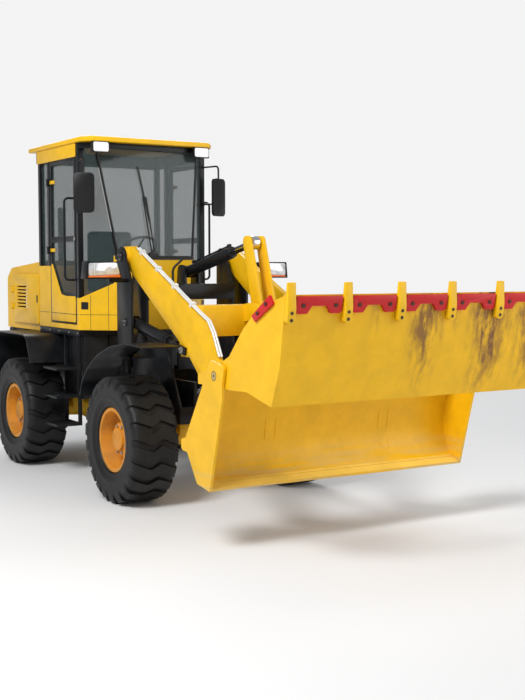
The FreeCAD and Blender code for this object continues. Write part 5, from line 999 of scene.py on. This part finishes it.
@dataclass
class Wheel:
    """One wheel: a tyre with wide wavy lugs on a deep dished rim."""

    place: str
    side: Side
    tread_radius: float = 0.5375
    lug_depth: float = 0.026
    half_width: float = 0.205
    lug_count: int = 22
    lug_share: float = 0.66
    lug_root: float = 0.004
    steps: int = 96
    nut_circle: float = 0.118
    nut_count: int = 8
    nut_face: float = 0.098
    nut_radius: float = 0.013
    nut_depth: float = 0.022

    @property
    def node(self) -> str:
        """The end of the wheel's node names."""
        return f"{self.place}_{self.side.word}"

    @property
    def body(self) -> str:
        """The wheel's body."""
        return "wheel_" + self.node

    @property
    def hub(self) -> Vector:
        """The wheel's middle."""
        return centre("tyre_" + self.node)

    def carcass(self) -> None:
        """Builds the tyre under its lugs, with sidewall ridges."""
        crown = self.tread_radius - self.lug_depth
        half = self.half_width
        outline = [
            # radius, place along the axle
            (0.2524, 0.1560), (0.277, 0.1575), (0.285, 0.178), (0.300, 0.186), (0.312, 0.186),
            (0.316, 0.190), (0.345, 0.1965), (0.352, 0.2005), (0.362, 0.2000), (0.372, 0.1985),
            (0.405, 0.2015), (0.440, half - 0.002), (0.462, half - 0.004), (0.480, half - 0.009),
            (crown - 0.010, half - 0.024), (crown, half - 0.040), (crown + 0.001, 0.09),
            (crown + 0.0015, 0.03),
        ]
        profile = outline + [(radius, -along) for radius, along in reversed(outline)]
        hub = self.hub
        bm = bmesh.new()
        rings = [[bm.verts.new(round_axle(hub, 2 * math.pi * step / self.steps, radius, along))
                  for radius, along in profile] for step in range(self.steps)]
        bridge(bm, rings, closed=True)
        item = finish_mesh("carcass_" + self.node, bm, 40.0)
        dress(item, RUBBER, self.body, "tyre_" + self.node)

    def lugs(self) -> None:
        """Draws one lug at the top of the tyre and repeats it round."""
        top, crown = self.tread_radius, self.tread_radius - self.lug_depth - self.lug_root
        shoulder = crown - 0.02
        pitch = 2 * math.pi / self.lug_count
        half_angle = pitch * self.lug_share / 2
        sections = [
            # share of the half width, lead in pitches, outer radius, inner radius
            (-1.0, 0.20, 0.462, 0.446), (-0.995, 0.20, 0.495, 0.458),
            (-0.93, 0.19, 0.5215, shoulder), (-0.84, 0.15, 0.5345, crown),
            (-0.62, 0.02, 0.5372, crown), (-0.40, -0.12, top, crown), (-0.20, -0.22, top, crown),
            (0.0, -0.05, top, crown), (0.20, 0.12, top, crown), (0.40, 0.03, top, crown),
            (0.62, -0.10, 0.5372, crown), (0.84, -0.22, 0.5345, crown),
            (0.93, -0.26, 0.5215, shoulder), (0.995, -0.27, 0.495, 0.458),
            (1.0, -0.27, 0.462, 0.446),
        ]
        hub = self.hub
        bm = bmesh.new()
        rows = []
        for share, lead, outer, inner in sections:
            along = share * self.half_width * self.side.value
            # a lug is wider at its root than at its face
            corners = ((-1.05, inner), (-0.94, outer), (0.94, outer), (1.05, inner))
            rows.append([
                bm.verts.new(round_axle(hub, lead * pitch + wide * half_angle, radius, along))
                for wide, radius in corners
            ])
        bridge(bm, rows)
        item = finish_mesh("tread_" + self.node, bm, 25.0)
        REPEAT.run(item, RUBBER, Count=self.lug_count, Hub=tuple(hub))
        dress(item, RUBBER, self.body)

    def nuts(self) -> None:
        """Builds the wheel nuts on the hub's flange."""
        out = self.side.value
        places = []
        for index in range(self.nut_count):
            angle = 2 * math.pi * (index + 0.5) / self.nut_count
            places.append((round_axle(self.hub, angle, self.nut_circle, out * self.nut_face),
                           Axis.Y.way * out))
        BOLTS.heads("nuts_" + self.node, places, self.nut_radius, self.nut_depth, STEEL, self.body)

    def build(self) -> None:
        """Builds the wheel."""
        self.carcass()
        self.lugs()
        softened("rim_" + self.node, ORANGE, 0.004, 30.0, "rim_piece_" + self.node)
        self.nuts()


@dataclass
class Dressed:
    """CAD pieces shown as they are, with broken edges and their finish."""

    table: Sequence[tuple[str, Finish, float]] = field(default_factory=lambda: (
        # node, finish, width of the broken edge in metres
        ("front_axle", YELLOW, 0.004), ("rear_axle", YELLOW, 0.004),
        ("front_frame", BLACK, 0.003), ("rear_frame", BLACK, 0.003),
        ("cab_platform", BLACK, 0.004), ("counterweight", CAST, 0.006),
        ("engine_block", CAST, 0.01), ("steps", BLACK, 0.002), ("rear_fenders", BLACK, 0.002),
        ("front_fenders", BLACK, 0.002), ("boom", YELLOW, 0.004), ("rocker", YELLOW, 0.003),
        ("bucket_link", YELLOW, 0.003), ("lift_barrels", BLACK, 0.002),
        ("lift_rods", BLACK, 0.002), ("tilt_barrel", BLACK, 0.002), ("tilt_rod", CHROME, 0.002),
        ("moldboard", BOARD, 0.003), ("clam", CLAM, 0.003), ("bucket_teeth", TEETH, 0.004),
        ("clam_barrels", BLACK, 0.002), ("clam_rods", CHROME, 0.002),
        ("cab_base", YELLOW, 0.006), ("cab_frame", BLACK, 0.004), ("cab_roof", YELLOW, 0.006),
        ("cab_headers", YELLOW, 0.002), ("side_tanks", BLACK, 0.004),
        ("battery_boxes", BLACK, 0.004), ("tail_lamps", TAIL, 0.004), ("boom_pipes", PALE, 0.0),
        ("edge_segments", SEGMENT, 0.002), ("door_left", BLACK, 0.003),
        ("door_right", BLACK, 0.003), ("hood", YELLOW, 0.006),
        ("engine_door_left", YELLOW, 0.004), ("engine_door_right", YELLOW, 0.004),
        ("rear_grille", BLACK, 0.002), ("exhaust_stack", BLACK, 0.003),
        ("driver_seat", CLOTH, 0.045), ("steering_console", PLASTIC, 0.004),
        ("mirrors", PLASTIC, 0.004), ("work_lamps", PLASTIC, 0.004), ("headlamps", BLACK, 0.004),
    ))
    creased: Sequence[str] = ("clam", "moldboard", "cab_base", "hood")
    crease: float = 12.0

    def build(self) -> None:
        """Builds every piece of the table."""
        for node, finish, width in self.table:
            softened(node, finish, width, smooth=self.crease if node in self.creased else SMOOTH)


@dataclass
class Glazing:
    """The fixed panes and the panes of the doors."""

    panes: Sequence[str] = ("cab_glass", "door_glass_left", "door_glass_right")

    def build(self) -> None:
        """Builds the panes."""
        for node in self.panes:
            softened(node, GLASS, 0.0, name=node + "_pane")


@dataclass
class DoorTrim:
    """The outer face of one cab door: a yellow lower panel, hinge straps, a lock and a seam."""

    side: Side
    face: float = 680.0
    panel: Sequence[Flat] = ((-2092, 1462), (-1474, 1462), (-1474, 1712), (-1722, 1712),
                             (-1838, 1728), (-2052, 2018), (-2092, 2030))
    seam: Sequence[float] = (-2092, -1474, 1536, 1542)
    lock: Sequence[float] = (-1498, -1466, 2244, 2282)
    hinges: Sequence[float] = (2830.0, 2160.0)
    strap: Flat = (-2118, -1985)
    strap_half: float = 17.0

    def build(self) -> None:
        """Builds the trim."""
        straps = [oblong(*self.strap, z - self.strap_half, z + self.strap_half, 8)
                  for z in self.hinges]
        for name, finish, outlines, height, edge in (
            ("door_panel_", YELLOW, [rounded_loop(self.panel, 16)], 3.0, 0.0012),
            ("door_seam_", SEAL, [oblong(*self.seam)], 3.3, 0.0),
            ("door_straps_", YELLOW, straps, 6.0, 0.0015),
            ("door_lock_", STEEL, [oblong(*self.lock, 5)], 9.0, 0.002),
        ):
            word = self.side.word
            trim(name + word, finish, "cab_door_" + word, Patch.beside(self.side, self.face),
                 outlines, height, edge)


@dataclass
class CabTrim:
    """Seams, bands and small panels on the cab's yellow base and round its panes."""

    nose: float = -1100.0
    nose_half: float = 380.0
    flank: float = 680.0
    corner_back: float = -1400.0
    band: Flat = (2062.0, 2100.0)
    seam: float = 4.0
    seam_height: float = 1538.0
    foot: float = 1392.0
    bolts: Sequence[float] = (-2400, -2150, -1900, -1650, -1430)
    bolt_height: float = 1361.0

    def corner(self, side: Side) -> Patch:
        """The slanted corner between the nose and the door."""
        low = spot(self.corner_back, self.flank * side.value, 0)
        ahead = (spot(self.nose, self.nose_half * side.value, 0) - low).normalized()
        out = Vector((-ahead.y, ahead.x, 0)) * side.value
        return Patch(low, ahead, Axis.Z.way, out)

    def upright(self, u: float, top: float) -> list[Flat]:
        """Gives an upright seam from the base's foot."""
        return oblong(u - self.seam / 2, u + self.seam / 2, self.foot, top)

    def level(self, start: float, end: float) -> list[Flat]:
        """Gives a level seam."""
        return oblong(start, end, self.seam_height, self.seam_height + self.seam)

    def build(self) -> None:
        """Builds the trim."""
        body = "rear_chassis"
        across = oblong(-self.nose_half, self.nose_half, *self.band)
        trim("cowl_band", SEAL, body, Patch.ahead(self.nose), [across], 2.0)
        for side in Side:
            corner, flank = self.corner(side), Patch.beside(side, self.flank)
            seams = [self.upright(118, 1722), self.level(8, 410), self.upright(300, 1838)]
            rails = [self.level(-2440, -2140), self.level(-1446, -1404)]
            for name, finish, patch, outlines, height, edge in (
                ("corner_seams_", SEAL, corner, seams, 1.0, 0.0),
                ("corner_grille_", PLASTIC, corner, [oblong(24, 96, 1590, 1660, 6)], 3.0, 0.001),
                ("corner_label_", YELLOW, corner, [oblong(330, 372, 1600, 1690, 4)], 1.5, 0.0),
                ("corner_band_", SEAL, corner, [oblong(368, 424, *self.band)], 2.0, 0.0),
                ("flank_seams_", SEAL, flank, rails, 1.0, 0.0),
            ):
                trim(name + side.word, finish, body, patch, outlines, height, edge)
            places = [(flank.at(x, self.bolt_height, 3), flank.out) for x in self.bolts]
            BOLTS.heads("platform_bolts_" + side.word, places, 0.011, 0.012, STEEL, body)


@dataclass
class Wiper:
    """The long wiper on the windscreen: two arms from a motor box at its foot and one blade."""

    foot: Flat = (-1125.0, 2100.0)
    head: Flat = (-1290.0, 3110.0)
    arm_radius: float = 0.0065
    arm_bend: float = 0.02
    blade_radius: float = 0.010
    # y, height up the screen, distance off it
    arms: Sequence[Sequence[Point]] = (
        ((-45, -20, 18), (-60, 120, 26), (-98, 560, 22)),
        ((-15, -20, 18), (-30, 120, 26), (-66, 560, 22)),
        ((-104, 566, 22), (-60, 556, 22)),
    )
    blade: Sequence[Point] = ((-40, 330, 12), (-82, 560, 15), (-126, 860, 12))
    motor: tuple[Point, Point] = ((-1132, -75, 2086), (-1090, 15, 2128))

    def build(self) -> None:
        """Builds the wiper."""
        body = "rear_chassis"
        low, high = (spot(x, 0, z) for x, z in (self.foot, self.head))
        screen = Patch.between(low, high, Axis.X.way)
        left = 1.0 if screen.across.y > 0 else -1.0
        *arms, blade = ([screen.at(y * left, v, w) for y, v, w in route]
                        for route in (*self.arms, self.blade))
        tubes("wiper_arms", PLASTIC, body, arms, self.arm_radius, self.arm_bend)
        bm = bmesh.new()
        add_tube(bm, blade, self.blade_radius, 8)
        dress(finish_mesh("wiper_blade", bm), SEAL, body)
        bm = bmesh.new()
        add_box(bm, *(spot(*corner) for corner in self.motor))
        dress(finish_mesh("wiper_motor", bm), PLASTIC, body)


@dataclass
class Lamps:
    """The lenses of the work lamps and the headlamps."""

    head: float = -390.0
    ribs: Sequence[float] = (800, 880, 950)
    rib_wide: float = 3.0
    # name, x, the way that it faces
    work: Sequence[tuple[str, float, int]] = (("front", -1176.0, 1), ("rear", -2650.0, -1))
    work_reach: Flat = (458.0, 610.0)
    work_height: Flat = (3070.0, 3157.0)

    def headlamp(self, side: Side) -> None:
        """Builds one headlamp's face.

        Args:
            side: The headlamp's side.
        """
        s = side.value
        clear = [(712 * s, 1928), (1006 * s, 1916), (1004 * s, 2026), (742 * s, 2030)]
        amber = [(706 * s, 1902), (1010 * s, 1902), (1008 * s, 1914), (710 * s, 1926)]
        bars = [oblong(*sorted((u * s, (u + self.rib_wide) * s)), 1926, 2022) for u in self.ribs]
        for name, finish, outlines, height, edge in (
            ("headlamp_glass_", REFLECTOR, [rounded_loop(clear, 14)], 3.0, 0.0012),
            ("headlamp_signal_", AMBER, [rounded_loop(amber, 4)], 3.0, 0.001),
            ("headlamp_ribs_", PALE, bars, 3.6, 0.0),
        ):
            trim(name + side.word, finish, "front_chassis", Patch.ahead(self.head), outlines,
                 height, edge)

    def build(self) -> None:
        """Builds the lenses."""
        for side in Side:
            self.headlamp(side)
        lenses = [oblong(*sorted(u * side.value for u in self.work_reach), *self.work_height, 16)
                  for side in Side]
        for place, x, out in self.work:
            trim("work_lens_" + place, LENS, "rear_chassis", Patch.ahead(x, out), lenses, 2.5,
                 0.001)


@dataclass
class PinCaps:
    """Caps and bolts at the ends of the big pins, the same on both sides."""

    table: Sequence[tuple[str, str, Finish, float, float, float, float]] = field(
        default_factory=lambda: (
            # name, body, finish, x, z, face, radius
            ("boom_pin_cap", "front_chassis", BLACK, -615.0, 2085.0, 602.0, 46.0),
            ("lift_pin_cap", "front_chassis", BLACK, -520.0, 1500.0, 602.0, 38.0),
            ("bucket_pin_cap", "bucket", STEEL, 1500.0, 700.0, 570.0, 42.0),
            ("lift_eye_cap", "lift_rods", STEEL, 476.0, 1310.0, 564.0, 30.0),
        ))
    height: float = 7.0
    bolt_share: float = 0.6
    bolt_turns: Sequence[float] = (0.5, 2.6, 4.7)

    def build(self) -> None:
        """Builds the caps and their bolts."""
        for name, body, finish, x, z, face, radius in self.table:
            for side in Side:
                patch = Patch.beside(side, face)
                piece = name + "_" + side.word
                trim(piece, finish, body, patch, [disc(x, z, radius)], self.height, 0.002)
                circle = radius * self.bolt_share
                places = [(patch.at(x + math.cos(a) * circle, z + math.sin(a) * circle,
                                    self.height + 3), patch.out) for a in self.bolt_turns]
                BOLTS.heads(piece + "_bolts", places, 0.008, 0.010, STEEL, body)


@dataclass
class BucketTrim:
    """Bolts of the teeth, the edge plates and the side cutters, and the board's edge plate."""

    edge: Flat = (2907.0, 1818.0)
    lean: float = 8.52
    half: float = 1109.0
    teeth: int = 6
    tooth_wide: float = 62.0
    tooth_rows: Flat = (-108.0, -154.0)
    tooth_face: float = 39.5
    segment_row: float = -66.0
    segment_face: float = 20.0
    segment_margin: float = 62.0
    cutter_face: float = 1125.3
    cutter_pin: Flat = (2045.0, 1250.0)
    cutter_bolts: Sequence[Flat] = ((560, 445), (660, 508))
    board_foot: Point = (1981, 0, 456)
    board_slope: Flat = (-0.876, 0.482)
    board_half: float = 1113.0

    def build(self) -> None:
        """Builds the trim."""
        angle = math.radians(self.lean)
        skin = Patch(spot(self.edge[0], 0, self.edge[1]), Axis.Y.way,
                     Vector((math.sin(angle), 0, math.cos(angle))),
                     Vector((math.cos(angle), 0, -math.sin(angle))))
        pitch = (self.half * 2 - self.tooth_wide) / (self.teeth - 1)
        middles = [pitch * k - self.half + self.tooth_wide / 2 for k in range(self.teeth)]
        places = [(skin.at(u, v, self.tooth_face), skin.out)
                  for u in middles for v in self.tooth_rows]
        BOLTS.heads("tooth_bolts", places, 0.0125, 0.010, RUSTY, "clam")
        reach = (pitch - self.tooth_wide) / 2 - self.segment_margin
        places = [(skin.at(u + pitch / 2 + way * reach, self.segment_row, self.segment_face),
                   skin.out) for u in middles[:-1] for way in (-1, 1)]
        BOLTS.heads("segment_bolts", places, 0.0145, 0.014, RUSTY, "clam")
        back, rise = self.board_slope
        board = Patch(spot(*self.board_foot), Axis.Y.way, Vector((back, 0, rise)),
                      Vector((rise, 0, -back)))
        strips = [oblong(-self.board_half, self.board_half, *rows) for rows in ((3, 70), (74, 96))]
        trim("board_edge", EDGE, "bucket", board, strips, 2.5)
        x, z = self.cutter_pin
        for side in Side:
            patch = Patch.beside(side, self.cutter_face)
            places = [(patch.at(x + ahead, z + up, 3), patch.out)
                      for ahead, up in self.cutter_bolts]
            BOLTS.heads("cutter_bolts_" + side.word, places, 0.013, 0.012, RUSTY, "clam")


@dataclass
class Hoses:
    """Oil hoses on the front frame, beside the tilt cylinder."""

    radius: float = 0.011
    bend: float = 0.08
    runs: Sequence[Sequence[Point]] = (
        ((-455, -160, 1842), (-455, -160, 1980), (-405, -90, 2060)),
        ((-455, 160, 1842), (-455, 160, 1960), (-405, 90, 2040)),
    )

    def build(self) -> None:
        """Builds the hoses."""
        runs = [[spot(*point) for point in run] for run in self.runs]
        tubes("frame_hoses", HOSE, "front_chassis", runs, self.radius, self.bend)


@dataclass
class HoodTrim:
    """The latches of the engine doors."""

    face: float = 625.0
    latch: Sequence[float] = (-2668, -2640, 1620, 1700)

    def build(self) -> None:
        """Builds the latches."""
        for side in Side:
            trim("hatch_latch_" + side.word, PLASTIC, "engine_door_" + side.word,
                 Patch.beside(side, self.face), [oblong(*self.latch, 8)], 6.0, 0.002)


@dataclass
class MirrorGlass:
    """The glass on the rear face of each mirror."""

    turn: float = 65.0
    post: Flat = (-1165.0, 715.0)
    face: float = 0.014
    pane: Sequence[float] = (-84, 84, 2510, 2850)

    def build(self) -> None:
        """Builds the glasses."""
        for side in Side:
            angle = math.radians(-self.turn * side.value)
            across = Vector((math.cos(angle), math.sin(angle), 0))
            out = Vector((-math.sin(angle), math.cos(angle), 0))
            if out.x > 0:
                out = -out
            post = spot(self.post[0], self.post[1] * side.value, 0)
            patch = Patch(post + out * self.face, across, Axis.Z.way, out)
            trim("mirror_glass_" + side.word, CHROME, "rear_chassis", patch,
                 [oblong(*self.pane, 34)], 1.0)


@dataclass
class Stage:
    """The floor, the lamps and the camera."""

    eye: Point = (8864.0, -4937.0, 1982.0)
    yaw: float = 31.58
    dip: float = 4.065
    lens_pixels: float = 1152.0
    photo_height: int = 700
    sensor: float = 36.0
    floor_size: float = 60.0
    floor_colour: Colour = (0.78, 0.78, 0.78)
    backdrop: Colour = (0.90, 0.90, 0.90)
    fade: Flat = (5.0, 15.0)
    sky: Colour = (0.95, 0.97, 1.0)
    sky_strength: float = 0.42
    aim: Point = (0.0, 0.0, 1.4)
    lamps: Sequence[tuple[str, Point, float, float]] = (
        # name, place, power in watts, side in metres
        ("key", (4.5, -7.0, 8.5), 950.0, 3.5),
        ("fill", (7.5, 5.5, 4.0), 260.0, 6.0),
        ("back", (-8.0, 3.0, 7.0), 420.0, 5.0),
    )

    def floor(self) -> None:
        """Lays the floor, which fades to the backdrop far away."""
        bm = bmesh.new()
        bmesh.ops.create_grid(bm, x_segments=1, y_segments=1, size=self.floor_size)
        item = link_faces("floor", bm)
        tree = MaterialTree("pale floor")
        tree.set(Roughness=0.9, Emission_Strength=1.0, Specular_IOR_Level=0.0)
        away = tree.add("ShaderNodeVectorMath", operation="LENGTH", Vector=tree.place)
        far = tree.band(away.outputs["Value"], *self.fade)
        black = (0.0, 0.0, 0.0)
        tree.colour(tree.mix(far, self.floor_colour, black))
        tree.join(tree.mix(far, black, self.backdrop), tree.shader.inputs["Emission Color"])
        item.data.materials.append(tree.material)

    def world(self) -> None:
        """Lights the object from all round, with a white backdrop."""
        world = bpy.data.worlds.new("studio")
        bpy.context.scene.world = world
        world.use_nodes = True
        tree = Nodes(world.node_tree)
        light = tree.nodes["Background"]
        light.inputs["Color"].default_value = (*self.sky, 1.0)
        light.inputs["Strength"].default_value = self.sky_strength
        back = tree.add("ShaderNodeBackground", Color=(*self.backdrop, 1.0), Strength=1.0)
        rays = tree.add("ShaderNodeLightPath").outputs
        seen = tree.work("MAXIMUM", rays["Is Camera Ray"], rays["Is Transmission Ray"])
        mixed = tree.add("ShaderNodeMixShader")
        for index, source in enumerate((seen, light.outputs[0], back.outputs[0])):
            tree.join(source, mixed.inputs[index])
        tree.join(mixed.outputs[0], tree.nodes["World Output"].inputs["Surface"])

    def lamp(self, name: str, place: Vector, power: float, size: float) -> None:
        """Adds a soft lamp that points at the loader.

        Args:
            name: Its name.
            place: Where it is.
            power: Its power in watts.
            size: Its side in metres.
        """
        data = bpy.data.lights.new(name, "AREA")
        data.energy = power
        data.size = size
        self.set_up(bpy.data.objects.new(name, data), place, Vector(self.aim) - place)

    @staticmethod
    def set_up(item: Piece, place: Vector, look: Vector) -> None:
        """Puts a lamp or camera in the scene.

        Args:
            item: The lamp or camera.
            place: Where it is.
            look: The way that it points.
        """
        item.location = place
        item.rotation_mode = "QUATERNION"
        item.rotation_quaternion = look.to_track_quat("-Z", "Y")
        bpy.context.scene.collection.objects.link(item)

    def camera(self) -> None:
        """Sets the camera where the photograph was taken."""
        data = bpy.data.cameras.new("camera")
        data.sensor_width = self.sensor
        data.lens = self.sensor * self.lens_pixels / self.photo_height
        data.clip_end = 200.0
        yaw, dip = math.radians(self.yaw), math.radians(self.dip)
        look = Vector((-math.cos(yaw) * math.cos(dip), math.sin(yaw) * math.cos(dip),
                       -math.sin(dip)))
        item = bpy.data.objects.new("camera", data)
        self.set_up(item, spot(*self.eye), look)
        bpy.context.scene.camera = item

    def build(self) -> None:
        """Builds the stage."""
        self.floor()
        self.world()
        for name, place, power, size in self.lamps:
            self.lamp(name, Vector(place), power, size)
        self.camera()
        bpy.context.scene.view_settings.view_transform = "Standard"


def main() -> None:
    """Builds the loader and its stage."""
    logging.basicConfig(level=logging.INFO, format="%(name)s %(message)s")
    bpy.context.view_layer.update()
    parts: list[object] = [Wheel(place, side) for place in ("front", "rear") for side in Side]
    parts += [Dressed(), Glazing(), CabTrim(), Wiper(), Lamps(), PinCaps(), BucketTrim(), Hoses(),
              HoodTrim(), MirrorGlass()]
    parts += [DoorTrim(side) for side in Side]
    parts.append(Stage())
    for part in parts:
        part.build()
        LOG.info("built %s", type(part).__name__)


if __name__ == "__main__":
    main()
